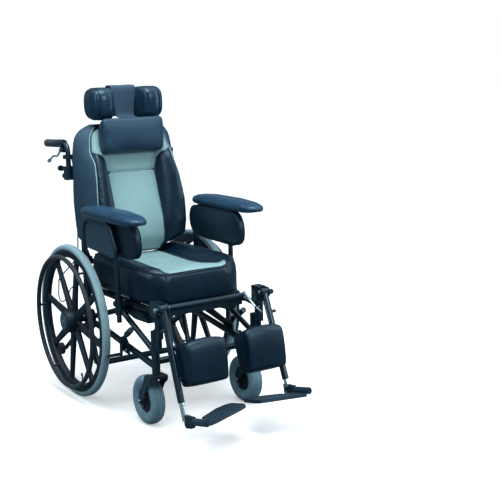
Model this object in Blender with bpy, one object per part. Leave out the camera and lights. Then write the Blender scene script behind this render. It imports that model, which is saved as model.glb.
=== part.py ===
"""Reclining wheelchair. Metres, +Z up, the chair faces -Y, the sitting person's left is +X."""
import bpy
import bmesh
from math import pi, sin, cos, tan, radians, sqrt, atan2, hypot
from mathutils import Vector, Matrix

# ---------------------------------------------------------------- main sizes
SHIFT_Y = 0.30385        # brings the middle of the bounding box to y = 0
AXLE_Z = 0.3075          # rear axle height, also the rear tyre's outer radius
WHEEL_X = 0.2833         # middle plane of a rear wheel
RIM_SEGMENTS = 44
TYRE_HALF = 0.0175       # half width of the rear tyre
HANDRIM_X = 0.3270
HANDRIM_R = 0.2620
HANDRIM_TUBE = 0.0095

SIDE_X = 0.2145          # base side frames, front posts
TUBE_R = 0.0125
STEM_Y = -0.5550         # caster swivel axis
CASTER_X = 0.2135
CASTER_Y = -0.4870       # caster wheel axle
CASTER_R = 0.0925
CASTER_HALF = 0.0275

TILT_Y, TILT_Z = -0.290, 0.400      # pivot between base and seat unit
RECL_Y, RECL_Z = 0.060, 0.535       # pivot between seat frame and backrest
RAIL_X, RAIL_Z = 0.1875, 0.425      # seat side rails

LOCK_Y, LOCK_Z = -0.345, 0.290      # wheel lock lever pivot

ARM_X = 0.250
ARM_FRONT_Y, ARM_REAR_Y = -0.345, -0.070
ARM_TUBE = 0.0095

POST_X, POST_Y = 0.180, 0.0955      # backrest posts
HANDLE_X, HANDLE_Y, HANDLE_Z = 0.2285, 0.100, 1.006
HEAD_X, HEAD_Y, HEAD_Z = 0.057, 0.0955, 1.088

LEG_X = 0.2165
SWING_Y = -0.584                    # vertical swing axis of a legrest
KNEE_Y, KNEE_Z = -0.628, 0.462      # elevation pivot
LEG_LEAN = {-1.0: radians(19.3), 1.0: radians(22.7)}   # leg tube off vertical, foot end forward; the left leg is raised a little
FOOT_RAIL = {-1.0: (-0.7700, 0.0875, 0.2242, 8.5, 0.0), 1.0: (-0.7650, 0.1160, 0.2150, 2.5, -0.0060)}   # y, z, rise, roll in degrees, blade height

SIDES = (("right", -1.0), ("left", 1.0))

# ---------------------------------------------------------------- clean start
for thing in list(bpy.data.objects):
    bpy.data.objects.remove(thing, do_unlink=True)
chair = bpy.data.collections.new("reclining_wheelchair")
bpy.context.scene.collection.children.link(chair)
work = bpy.data.collections.new("working_shapes")
bpy.context.scene.collection.children.link(work)


# ---------------------------------------------------------------- materials
def material(name, colour, rough, metal=0.0):
    m = bpy.data.materials.new(name)
    m.use_nodes = True
    b = m.node_tree.nodes["Principled BSDF"]
    b.inputs["Base Color"].default_value = (*colour, 1.0)
    b.inputs["Roughness"].default_value = rough
    b.inputs["Metallic"].default_value = metal
    return m


BLACK_PAINT = material("black_painted_steel", (0.012, 0.020, 0.028), 0.35, 0.2)
BLACK_PLASTIC = material("black_moulded_plastic", (0.015, 0.028, 0.038), 0.42)
GREY_TYRE = material("grey_tyre", (0.50, 0.56, 0.58), 0.70)
CHROME = material("chrome_plate", (0.72, 0.76, 0.78), 0.16, 1.0)
STEEL = material("brushed_steel", (0.55, 0.58, 0.60), 0.34, 1.0)
LEATHER = material("black_leather", (0.018, 0.035, 0.055), 0.38)
FABRIC = material("dark_grey_fabric", (0.07, 0.10, 0.14), 0.85)
RUBBER = material("black_rubber", (0.010, 0.014, 0.018), 0.65)
SKIRT = material("grey_skirt_panel", (0.10, 0.15, 0.18), 0.55)
BOARD = material("plywood_board", (0.32, 0.22, 0.13), 0.60)
CABLE = material("cable_sheath", (0.16, 0.19, 0.20), 0.45)


# ---------------------------------------------------------------- shapes
def to_object(bm, name="shape"):
    bmesh.ops.remove_doubles(bm, verts=bm.verts, dist=2e-6)
    bmesh.ops.dissolve_degenerate(bm, edges=bm.edges, dist=2e-6)
    bmesh.ops.recalc_face_normals(bm, faces=bm.faces)
    me = bpy.data.meshes.new(name)
    bm.to_mesh(me)
    bm.free()
    ob = bpy.data.objects.new(name, me)
    work.objects.link(ob)
    return ob


def box(x0, x1, y0, y1, z0, z1, bevel=0.0):
    """a block between two corners, with its long edges softened if asked"""
    bm = bmesh.new()
    bmesh.ops.create_cube(bm, size=1.0)
    bmesh.ops.scale(bm, vec=(abs(x1 - x0), abs(y1 - y0), abs(z1 - z0)), verts=bm.verts)
    bmesh.ops.translate(bm, vec=((x0 + x1) / 2, (y0 + y1) / 2, (z0 + z1) / 2), verts=bm.verts)
    if bevel:
        bmesh.ops.bevel(bm, geom=list(bm.edges), offset=bevel, segments=1, affect="EDGES", profile=0.5)
    return to_object(bm)


def rod(p, q, r, sides=12, r2=None):
    """a straight round bar from p to q"""
    p, q = Vector(p), Vector(q)
    d = q - p
    bm = bmesh.new()
    bmesh.ops.create_cone(bm, cap_ends=True, cap_tris=False, segments=sides, radius1=r,
                          radius2=r if r2 is None else r2, depth=d.length)
    turn = Vector((0, 0, 1)).rotation_difference(d.normalized()).to_matrix().to_4x4()
    bmesh.ops.transform(bm, matrix=Matrix.Translation((p + q) / 2) @ turn, verts=bm.verts)
    return to_object(bm)


def rounded(points, fillet, steps=3):
    """the path through the points with its inner corners rounded"""
    pts = [Vector(p) for p in points]
    out = [pts[0]]
    for i in range(1, len(pts) - 1):
        a, b, c = pts[i - 1], pts[i], pts[i + 1]
        u, v = (a - b), (c - b)
        lu, lv = u.length, v.length
        u.normalize()
        v.normalize()
        ang = u.angle(v)
        if ang > radians(172) or fillet <= 0:
            out.append(b)
            continue
        cut = min(fillet / tan(ang / 2), 0.48 * lu, 0.48 * lv)
        rad = cut * tan(ang / 2)
        centre = b + (u + v).normalized() * (rad / sin(ang / 2))
        s, e = b + u * cut, b + v * cut
        a0, a1 = s - centre, e - centre
        sweep = a0.angle(a1)
        axis = a0.cross(a1).normalized()
        for k in range(steps + 1):
            out.append(centre + Matrix.Rotation(sweep * k / steps, 3, axis) @ a0)
    out.append(pts[-1])
    return out


def tube(points, r, fillet=0.04, sides=12, steps=3):
    """a bent round tube, made as a bevelled curve with closed ends"""
    path = rounded(points, fillet, steps)
    cu = bpy.data.curves.new("tube", "CURVE")
    cu.dimensions = "3D"
    cu.bevel_depth = r
    cu.bevel_resolution = max(0, (sides - 4) // 2)
    cu.use_fill_caps = True
    sp = cu.splines.new("POLY")
    sp.points.add(len(path) - 1)
    for p, co in zip(sp.points, path):
        p.co = (*co, 1.0)
    ob = bpy.data.objects.new("tube", cu)
    work.objects.link(ob)
    dg = bpy.context.evaluated_depsgraph_get()
    me = bpy.data.meshes.new_from_object(ob.evaluated_get(dg))
    bm = bmesh.new()
    bm.from_mesh(me)
    bpy.data.objects.remove(ob, do_unlink=True)
    bpy.data.meshes.remove(me)
    return to_object(bm)


def turned(profile, n, centre, closed=True, half_step=True):
    """a round part about an X axis through centre; profile is a list of (x, radius).
    The radii are to the flats, so a wheel stands on a flat at its true radius."""
    grow = 1.0 / cos(pi / n)
    bm = bmesh.new()
    cx, cy, cz = centre
    vs = [bm.verts.new((cx + x, cy, cz + r * grow)) for x, r in profile]
    es = [bm.edges.new((vs[i], vs[i + 1])) for i in range(len(vs) - 1)]
    if closed:
        es.append(bm.edges.new((vs[-1], vs[0])))
    if half_step:
        bmesh.ops.rotate(bm, cent=centre, matrix=Matrix.Rotation(pi / n, 3, "X"), verts=vs)
    bmesh.ops.spin(bm, geom=vs + es, cent=centre, axis=(1, 0, 0), angle=2 * pi, steps=n,
                   use_duplicate=False)
    return to_object(bm)


def prism(outline, lo, hi, axis="x"):
    """a flat plate: outline in the plane across the axis, between lo and hi on the axis"""
    bm = bmesh.new()
    put = {"x": lambda a, b, t: (t, a, b), "y": lambda a, b, t: (a, t, b), "z": lambda a, b, t: (a, b, t)}[axis]
    vs = [bm.verts.new(put(a, b, lo)) for a, b in outline]
    f = bm.faces.new(vs)
    ext = bmesh.ops.extrude_face_region(bm, geom=[f])
    moved = [g for g in ext["geom"] if isinstance(g, bmesh.types.BMVert)]
    d = {"x": (hi - lo, 0, 0), "y": (0, hi - lo, 0), "z": (0, 0, hi - lo)}[axis]
    bmesh.ops.translate(bm, vec=d, verts=moved)
    return to_object(bm)


def loft(rings):
    """a closed skin through rings of equal point count"""
    bm = bmesh.new()
    rows = [[bm.verts.new(p) for p in ring] for ring in rings]
    n = len(rows[0])
    for a, b in zip(rows, rows[1:]):
        for i in range(n):
            j = (i + 1) % n
            bm.faces.new((a[i], a[j], b[j], b[i]))
    bm.faces.new(rows[0])
    bm.faces.new(list(reversed(rows[-1])))
    return to_object(bm)


def moved(ob, matrix):
    ob.data.transform(matrix)
    return ob


def joined(adds, cuts=()):
    """one solid from overlapping pieces, with the cutters taken away"""
    base = adds[0]
    for kind, others in (("UNION", adds[1:]), ("DIFFERENCE", cuts)):
        for o in others:
            m = base.modifiers.new(kind.lower(), "BOOLEAN")
            m.operation = kind
            m.solver = "EXACT"
            m.object = o
    dg = bpy.context.evaluated_depsgraph_get()
    me = bpy.data.meshes.new_from_object(base.evaluated_get(dg))
    bm = bmesh.new()
    bm.from_mesh(me)
    for o in list(adds) + list(cuts):
        bpy.data.objects.remove(o, do_unlink=True)
    bpy.data.meshes.remove(me)
    bmesh.ops.remove_doubles(bm, verts=bm.verts, dist=1e-5)
    bmesh.ops.dissolve_degenerate(bm, edges=bm.edges, dist=1e-5)
    bmesh.ops.dissolve_limit(bm, angle_limit=radians(0.3), verts=bm.verts, edges=bm.edges)
    loose = [e for e in bm.edges if not e.link_faces]
    bmesh.ops.delete(bm, geom=loose, context="EDGES")
    bmesh.ops.triangulate(bm, faces=[f for f in bm.faces if len(f.verts) > 4])
    return to_object(bm)


def part(name, ob, mat, origin=(0.0, 0.0, 0.0)):
    """names the finished solid, gives it its finish and puts its origin on its axis"""
    ob.name = name
    ob.data.name = name
    ob.data.materials.clear()
    ob.data.materials.append(mat)
    ob.data.transform(Matrix.Translation(-Vector(origin)))
    ob.location = Vector(origin) + Vector((0.0, SHIFT_Y, 0.0))
    work.objects.unlink(ob)
    chair.objects.link(ob)
    return ob


# ================================================================ base frame
def base_frame():
    adds, cuts = [], []
    for _, s in SIDES:
        x = s * SIDE_X
        adds += [
            tube([(x, 0.030, 0.300), (x, -0.180, 0.283), (x, -0.548, 0.233)], TUBE_R),
            rod((s * CASTER_X, STEM_Y, 0.2030), (s * CASTER_X, STEM_Y, 0.280), 0.0155, 14),
            rod((x, -0.5535, 0.262), (x, -0.5535, 0.362), 0.0140),
            tube([(x, -0.549, 0.288), (x, -0.296, 0.394)], 0.0110),
            tube([(x, -0.286, 0.396), (x, -0.010, 0.312)], 0.0110),
            rod((s * 0.2030, TILT_Y, TILT_Z), (s * 0.2275, TILT_Y, TILT_Z), 0.0200, 14),
            prism([(-0.046, 0.285), (-0.020, 0.262), (0.030, 0.262), (0.046, 0.285), (0.046, 0.322),
                   (0.022, 0.346), (-0.030, 0.346), (-0.046, 0.330)], s * 0.2085, s * 0.2205),
            rod((s * 0.2150, 0.0, AXLE_Z), (s * 0.2612, 0.0, AXLE_Z), 0.0120),
            tube([(x, 0.004, 0.285), (x, -0.045, 0.125)], 0.0110),
            tube([(x, 0.020, 0.285), (x, 0.110, 0.235), (x, 0.268, 0.122)], 0.0090, 0.05, 10),
            rod((s * 0.2120, 0.266, 0.1235), (s * 0.2250, 0.266, 0.1235), 0.0085, 10),
        ]
    adds += [
        tube([(-SIDE_X, -0.045, 0.125), (SIDE_X, -0.045, 0.125)], TUBE_R),
        tube([(-SIDE_X, -0.555, 0.252), (SIDE_X, -0.555, 0.252)], TUBE_R),
        # lug for the lower eye of the tilt spring
        prism([(-0.060, 0.125), (-0.030, 0.125), (-0.036, 0.168), (-0.056, 0.168)], 0.0480, 0.0532),
    ]
    return part("base_frame", joined(adds, cuts), BLACK_PAINT)


# ================================================================ wheels
def rear_wheel(side, s):
    c = (s * WHEEL_X, 0.0, AXLE_Z)
    R = AXLE_Z
    tyre = turned([(-0.006, R), (0.006, R), (0.0135, R - 0.0055), (TYRE_HALF, R - 0.0160),
                   (0.0125, R - 0.0285), (0.0095, R - 0.0345), (-0.0095, R - 0.0345), (-0.0125, R - 0.0285),
                   (-TYRE_HALF, R - 0.0160), (-0.0135, R - 0.0055)], RIM_SEGMENTS, c)
    part(f"rear_tyre_{side}", tyre, GREY_TYRE, c)
    rim = turned([(-0.0130, 0.2725), (0.0130, 0.2725), (0.0130, 0.2600), (0.0060, 0.2560),
                  (-0.0060, 0.2560), (-0.0130, 0.2600)], RIM_SEGMENTS, c)
    hub = turned([(-0.0210, 0.0), (-0.0210, 0.0300), (-0.0130, 0.0420), (0.0230 , 0.0470),
                  (0.0420, 0.0440), (0.0480, 0.0360), (0.0480, 0.0)] if s > 0 else
                 [(0.0210, 0.0), (0.0210, 0.0300), (0.0130, 0.0420), (-0.0230, 0.0470),
                  (-0.0420, 0.0440), (-0.0480, 0.0360), (-0.0480, 0.0)], 20, c, closed=False)
    adds = [rim, hub]
    for k in range(8):
        a = radians(12 + 45 * k) * (1 if s < 0 else 1)
        bm = bmesh.new()
        bmesh.ops.create_cube(bm, size=1.0)
        for v in bm.verts:
            out = v.co.z > 0
            v.co.x *= 0.0150 if out else 0.0200
            v.co.y *= 0.0190 if out else 0.0280
            v.co.z = 0.2610 if out else 0.0280
        # positive angles lean towards the front of the chair
        bmesh.ops.transform(bm, matrix=Matrix.Translation(c) @ Matrix.Rotation(a, 4, "X"), verts=bm.verts)
        adds.append(to_object(bm))
    part(f"rear_wheel_{side}", joined(adds), BLACK_PLASTIC, c)

    bpy.ops.mesh.primitive_torus_add(major_radius=HANDRIM_R, minor_radius=HANDRIM_TUBE, major_segments=40,
                                     minor_segments=6, rotation=(0, pi / 2, 0))
    ring = bpy.context.object
    for col in list(ring.users_collection):
        col.objects.unlink(ring)
    work.objects.link(ring)
    bpy.context.view_layer.update()
    ring.data.transform(Matrix.Translation((s * HANDRIM_X, 0, AXLE_Z)) @ ring.matrix_world)
    ring.matrix_world = Matrix.Identity(4)
    adds = [ring]
    for k in range(6):
        a = radians(34.5 + 60 * k)
        y, z = -sin(a) * 0.2655, AXLE_Z + cos(a) * 0.2655
        adds.append(rod((s * (WHEEL_X + 0.0134), y, z), (s * (HANDRIM_X - 0.002), y, z), 0.0048, 6))
    part(f"handrim_{side}", joined(adds), RUBBER, c)


def caster(side, s):
    stem = (s * CASTER_X, STEM_Y, 0.2)
    axle = (s * CASTER_X, CASTER_Y, CASTER_R)
    R = CASTER_R
    tyre = turned([(-0.0110, R), (0.0110, R), (0.0210, R - 0.0045), (CASTER_HALF, R - 0.0170),
                   (0.0255, R - 0.0320), (0.0150, R - 0.0465), (-0.0150, R - 0.0465), (-0.0255, R - 0.0320),
                   (-CASTER_HALF, R - 0.0170), (-0.0210, R - 0.0045)], 28, axle)
    part(f"caster_tyre_{side}", tyre, GREY_TYRE, axle)
    hub = turned([(-0.0270, 0.0), (-0.0270, 0.0130), (-0.0150, 0.0180), (-0.0150, 0.0340), (-0.0200, 0.0390),
                  (-0.0145, 0.0448), (0.0145, 0.0448), (0.0200, 0.0390), (0.0150, 0.0340), (0.0150, 0.0180),
                  (0.0270, 0.0130), (0.0270, 0.0)], 20, axle, closed=False)
    part(f"caster_hub_{side}", hub, BLACK_PLASTIC, axle)
    leg = [(-0.5760, 0.1985), (-0.5300, 0.1985), (-0.5180, 0.1740), (-0.4860, 0.1180), (-0.4735, 0.1000),
           (-0.4730, 0.0880), (-0.4800, 0.0800), (-0.4910, 0.0780), (-0.5000, 0.0850), (-0.5110, 0.1050),
           (-0.5460, 0.1600), (-0.5720, 0.1800)]
    cx = s * CASTER_X
    adds = [
        prism([(cx - 0.0365, -0.573), (cx - 0.024, -0.581), (cx + 0.024, -0.581), (cx + 0.0365, -0.573),
               (cx + 0.0365, -0.5285), (cx - 0.0365, -0.5285)], 0.1920, 0.2000, "z"),
        prism(leg, cx - 0.0368, cx - 0.0318),
        prism(leg, cx + 0.0318, cx + 0.0368),
        rod((cx, STEM_Y, 0.1960), (cx, STEM_Y, 0.2026), 0.0170, 14),
    ]
    for t in (-1, 1):
        adds.append(rod((cx + t * 0.0276, CASTER_Y, CASTER_R), (cx + t * 0.0405, CASTER_Y, CASTER_R), 0.0085, 8))
    part(f"caster_fork_{side}", joined(adds), BLACK_PAINT, stem)


def anti_tip(side, s):
    c = (s * 0.2345, 0.266, 0.1235)
    w = turned([(-0.0090, 0.0), (-0.0090, 0.0225), (-0.0060, 0.0260), (0.0060, 0.0260), (0.0090, 0.0225),
                (0.0090, 0.0)], 16, c, closed=False)
    part(f"anti_tip_wheel_{side}", w, RUBBER, c)


def wheel_lock(side, s):
    o = (s * 0.2425, LOCK_Y, LOCK_Z)
    adds = [
        prism([(-0.378, 0.240), (-0.318, 0.248), (-0.318, 0.278), (-0.332, 0.304), (-0.352, 0.306),
               (-0.378, 0.280)], s * 0.2278, s * 0.2345),
        rod((s * 0.2340, LOCK_Y, LOCK_Z), (s * 0.2395, LOCK_Y, LOCK_Z), 0.0110, 12),
        rod((s * 0.2340, -0.366, 0.256), (s * 0.2390, -0.366, 0.256), 0.0060, 8),
        rod((s * 0.2340, -0.328, 0.259), (s * 0.2375, -0.328, 0.259), 0.0060, 8),
    ]
    part(f"wheel_lock_bracket_{side}", joined(adds), BLACK_PAINT)
    xi, xo = s * 0.2400, s * 0.2450
    adds = [
        prism([(-0.362, 0.288), (-0.352, 0.276), (-0.335, 0.226), (-0.323, 0.226), (-0.328, 0.284),
               (-0.338, 0.303), (-0.370, 0.318), (-0.380, 0.306)], xi, xo),
        tube([(s * 0.2430, -0.3700, 0.3080), (s * 0.2470, -0.3880, 0.3200), (s * 0.2480, -0.4250, 0.3450)],
             0.0075, 0.02, 10),
        rod((s * 0.2479, -0.3950, 0.3248), (s * 0.2480, -0.4340, 0.3511), 0.0115, 10),
        rod((s * 0.2400, -0.3290, 0.2345), (s * 0.2980, -0.3290, 0.2345), 0.0062, 10),
        rod((s * 0.2420, LOCK_Y, LOCK_Z), (s * 0.2490, LOCK_Y, LOCK_Z), 0.0085, 10),
    ]
    part(f"wheel_lock_lever_{side}", joined(adds), BLACK_PAINT, o)


# ================================================================ seat unit
def seat_frame():
    adds, cuts = [], []
    for _, s in SIDES:
        x = s * RAIL_X
        adds += [
            tube([(x, 0.070, RAIL_Z), (x, -0.533, RAIL_Z)], TUBE_R),
            tube([(x, -0.470, 0.427), (x, -0.530, 0.427), (s * 0.2145, SWING_Y, 0.405)], 0.0105, 0.03),
            rod((s * 0.2145, SWING_Y, 0.376), (s * 0.2145, SWING_Y, 0.4245), TUBE_R),
            prism([(-0.488, 0.428), (-0.488, 0.378), (-0.440, 0.364), (-0.330, 0.360), (-0.262, 0.372), (-0.238, 0.392),
                   (-0.238, 0.428)], s * 0.1690, s * 0.1770),
            rod((s * 0.1660, TILT_Y, TILT_Z), (s * 0.2024, TILT_Y, TILT_Z), 0.0160, 14),
            # armrest sockets and their arms
            rod((s * ARM_X, ARM_FRONT_Y, 0.392), (s * ARM_X, ARM_FRONT_Y, 0.456), 0.0145, 14),
            box(s * 0.1900, s * 0.2450, -0.353, -0.337, 0.422, 0.443),
            rod((s * ARM_X, ARM_REAR_Y, 0.414), (s * ARM_X, ARM_REAR_Y, 0.482), 0.0145, 14),
            box(s * 0.1900, s * 0.2450, -0.078, -0.062, 0.422, 0.443),
            # plates that carry the backrest pivot
            prism([(-0.020, 0.414), (0.070, 0.414), (0.086, 0.530), (0.074, 0.556), (0.048, 0.558),
                   (0.034, 0.540), (0.024, 0.460)], s * 0.1950, s * 0.2012),
            rod((s * 0.1980, RECL_Y, RECL_Z), (s * 0.2080, RECL_Y, RECL_Z), 0.0110, 10),
        ]
        for y, z0, z1 in ((ARM_FRONT_Y, 0.385, 0.465), (ARM_REAR_Y, 0.405, 0.490)):
            cuts.append(rod((s * ARM_X, y, z0), (s * ARM_X, y, z1), 0.0103, 14))
    for y, z in ((-0.525, 0.434), (-0.300, RAIL_Z), (-0.120, RAIL_Z), (0.052, RAIL_Z)):
        adds.append(tube([(-RAIL_X, y, z), (RAIL_X, y, z)], TUBE_R))
    adds.append(box(-0.1800, 0.1800, -0.5300, -0.5210, 0.4020, 0.4300))
    # spring lugs
    adds.append(prism([(-0.132, RAIL_Z), (-0.108, RAIL_Z), (-0.110, 0.398), (-0.114, 0.393), (-0.126, 0.393),
                       (-0.130, 0.398)], 0.0480, 0.0532))
    adds.append(prism([(0.050, 0.418), (0.104, 0.390), (0.116, 0.391), (0.122, 0.400), (0.118, 0.410),
                       (0.056, 0.434)], -0.0532, -0.0480))
    part("seat_frame", joined(adds, cuts), BLACK_PAINT, (0.0, TILT_Y, TILT_Z))


def seat_soft():
    rings = []
    #        y      half  bolster-top  panel-top  panel-half
    rows = [(-0.518, 0.132, 0.545, 0.545, 0.110),
            (-0.508, 0.162, 0.562, 0.556, 0.132),
            (-0.480, 0.194, 0.576, 0.558, 0.138),
            (-0.430, 0.221, 0.585, 0.558, 0.132),
            (-0.300, 0.224, 0.590, 0.556, 0.114),
            (-0.150, 0.222, 0.590, 0.556, 0.108),
            (-0.030, 0.214, 0.588, 0.558, 0.108),
            (-0.006, 0.190, 0.580, 0.560, 0.108)]
    for y, w, tb, tp, ph in rows:
        zb = 0.4460
        rings.append([(-w + 0.012, y, zb), (-w, y, zb + 0.016), (-w, y, tb - 0.028), (-w + 0.016, y, tb - 0.006),
                      (-(w + ph) / 2, y, tb), (-ph, y, tp), (ph, y, tp), ((w + ph) / 2, y, tb),
                      (w - 0.016, y, tb - 0.006), (w, y, tb - 0.028), (w, y, zb + 0.016), (w - 0.012, y, zb)])
    # the cushion is upholstered on its own board, which rests on the seat rails
    board = box(-0.1870, 0.1870, -0.5050, -0.0080, 0.4385, 0.4500)
    part("seat_cushion", joined([loft(rings), board]), LEATHER)


# ---------------------------------------------------------------- armrests
def armrest(side, s):
    x = s * ARM_X
    path = [(x, ARM_FRONT_Y, 0.3620), (x, ARM_FRONT_Y, 0.640), (x, -0.300, 0.7340), (x, ARM_REAR_Y, 0.7340),
            (x, ARM_REAR_Y, 0.3850)]
    frame = tube(path, ARM_TUBE, 0.060, 12, 4)
    part(f"armrest_frame_{side}", frame, BLACK_PAINT, (x, -0.2075, 0.500))
    rings = []
    #        y       half    bottom   top    flat half
    rows = [(-0.082, 0.012, 0.7500, 0.7640, 0.006),
            (-0.092, 0.024, 0.7450, 0.7720, 0.012),
            (-0.135, 0.037, 0.7440, 0.7840, 0.018),
            (-0.220, 0.043, 0.7440, 0.7900, 0.022),
            (-0.400, 0.047, 0.7440, 0.7900, 0.022),
            (-0.490, 0.046, 0.7450, 0.7850, 0.020),
            (-0.540, 0.034, 0.7490, 0.7760, 0.014),
            (-0.556, 0.016, 0.7550, 0.7680, 0.008)]
    for y, w, zb, zt, fl in rows:
        m = (zb + zt) / 2
        rings.append([(x - w * 0.62, y, zb), (x - w, y, m - 0.25 * (zt - zb)), (x - w, y, m + 0.14 * (zt - zb)),
                      (x - fl, y, zt), (x + fl, y, zt), (x + w, y, m + 0.14 * (zt - zb)),
                      (x + w, y, m - 0.25 * (zt - zb)), (x + w * 0.62, y, zb)])
    part(f"arm_pad_{side}", loft(rings), LEATHER)
    # padded side cushion on the inside of the arm frame
    ring_in, ring_mid, ring_out = [], [], []
    outline = [(-0.095, 0.665), (-0.098, 0.715), (-0.118, 0.737), (-0.160, 0.7425), (-0.400, 0.7425), (-0.445, 0.738),
               (-0.473, 0.707), (-0.480, 0.665), (-0.472, 0.632), (-0.440, 0.613), (-0.350, 0.611), (-0.190, 0.616),
               (-0.120, 0.630)]
    cy, cz = -0.28, 0.676
    rings = []
    for xx, k in ((0.2395, 0.955), (0.2340, 1.0), (0.2120, 1.0), (0.2035, 0.93)):
        rings.append([(s * xx, cy + (y - cy) * k, cz + (z - cz) * k) for y, z in outline])
    part(f"arm_side_cushion_{side}", loft(rings), LEATHER)
    # flat panel inside the bent tube, following its curve 2 mm away
    bend = [(p.y, p.z) for p in rounded(path, 0.060, 4)]
    inside = [(ARM_FRONT_Y + ARM_TUBE + 0.002, 0.602)]
    for a, b, c in zip(bend, bend[1:], bend[2:]):
        d = Vector((c[0] - a[0], c[1] - a[1])).normalized()
        inside.append((b[0] + d.y * (ARM_TUBE + 0.002), b[1] - d.x * (ARM_TUBE + 0.002)))
    inside.append((ARM_REAR_Y - ARM_TUBE - 0.002, 0.614))
    panel = prism(inside, s * 0.2475, s * 0.2515)
    part(f"arm_skirt_{side}", panel, SKIRT)


# ================================================================ backrest
def back_frame():
    adds, cuts = [], []
    for _, s in SIDES:
        x = s * POST_X
        adds += [
            tube([(x, POST_Y, 0.505), (x, POST_Y, 1.040)], TUBE_R),
            prism([(0.046, 0.522), (0.064, 0.516), (0.0955, 0.530), (0.0955, 0.600), (0.088, 0.590), (0.050, 0.552)],
                  s * 0.1755, s * 0.1845),
            rod((s * 0.1675, RECL_Y, RECL_Z), (s * 0.1938, RECL_Y, RECL_Z), 0.0140, 12),
            rod((s * HEAD_X, HEAD_Y, 0.955), (s * HEAD_X, HEAD_Y, 1.035), 0.0115, 12),
        ]
        cuts.append(rod((s * HEAD_X, HEAD_Y, 0.945), (s * HEAD_X, HEAD_Y, 1.045), 0.0068, 12))
        adds.append(box(s * 0.1700, s * 0.2445, 0.0845, 0.1155, 0.862, 0.916))
        adds.append(box(s * 0.1700, s * 0.2445, 0.0845, 0.1155, 0.946, 0.962))
        for z, reach in ((0.903, 0.188), (0.875, 0.145)):
            adds.append(rod((s * HANDLE_X, 0.113, z), (s * HANDLE_X, reach - 0.014, z), 0.0045, 8))
            adds.append(rod((s * HANDLE_X, reach - 0.016, z), (s * HANDLE_X, reach, z), 0.0115, 10))
        cuts.append(rod((s * HANDLE_X, HANDLE_Y, 0.850), (s * HANDLE_X, HANDLE_Y, 0.970), 0.0108, 12))
    for z in (0.518, 0.700, 1.000):
        adds.append(tube([(-POST_X, POST_Y, z), (POST_X, POST_Y, z)], 0.0110))
    # arm that the recline spring pushes on
    adds.append(prism([(0.088, 0.704), (0.088, 0.692), (0.128, 0.656), (0.138, 0.651), (0.146, 0.660),
                       (0.143, 0.668), (0.104, 0.704)], -0.0532, -0.0480))
    part("back_frame", joined(adds, cuts), BLACK_PAINT, (0.0, RECL_Y, RECL_Z))


def back_cushion():
    rings = []
    # z, rear-half, rear-y, flap-y, ridge-half, ridge-y, panel-half, panel-y
    rows = [(0.5600, 0.098, 0.044, 0.044, 0.094, -0.050, 0.086, -0.049),
            (0.5880, 0.106, 0.056, 0.056, 0.102, -0.058, 0.094, -0.057),
            (0.6010, 0.194, 0.062, 0.070, 0.170, -0.080, 0.107, -0.067),
            (0.6120, 0.222, 0.068, 0.086, 0.191, -0.102, 0.107, -0.075),
            (0.6800, 0.227, 0.071, 0.092, 0.195, -0.113, 0.107, -0.069),
            (0.7700, 0.231, 0.074, 0.093, 0.193, -0.110, 0.107, -0.041),
            (0.8400, 0.232, 0.076, 0.088, 0.187, -0.096, 0.107, -0.016),
            (0.8700, 0.232, 0.077, 0.083, 0.181, -0.086, 0.107, -0.004),
            (0.9400, 0.231, 0.078, 0.083, 0.169, -0.048, 0.114, 0.012),
            (0.9700, 0.228, 0.078, 0.083, 0.164, -0.008, 0.126, 0.024),
            (0.9850, 0.226, 0.078, 0.083, 0.161, 0.014, 0.131, 0.029),
            (1.0300, 0.218, 0.079, 0.083, 0.151, 0.028, 0.127, 0.034),
            (1.0650, 0.194, 0.080, 0.082, 0.134, 0.036, 0.112, 0.039),
            (1.0840, 0.150, 0.078, 0.079, 0.108, 0.049, 0.082, 0.051)]
    for z, rw, ry, fy, gw, gy, pw, py in rows:
        sw = rw * 0.40 + gw * 0.60 + 0.004
        sy = ry * 0.50 + gy * 0.50
        inner = min(0.1965, rw - 0.014)
        half = [(inner, ry), (inner + 0.002, fy), (rw - 0.006, fy), (rw, fy - 0.010), (sw, sy), (gw + 0.008, gy + 0.014),
                (gw - 0.006, gy), (pw, py)]
        rings.append([(-a, b, z) for a, b in half] + [(a, b, z) for a, b in reversed(half)])
    part("back_cushion", loft(rings), LEATHER)


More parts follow.
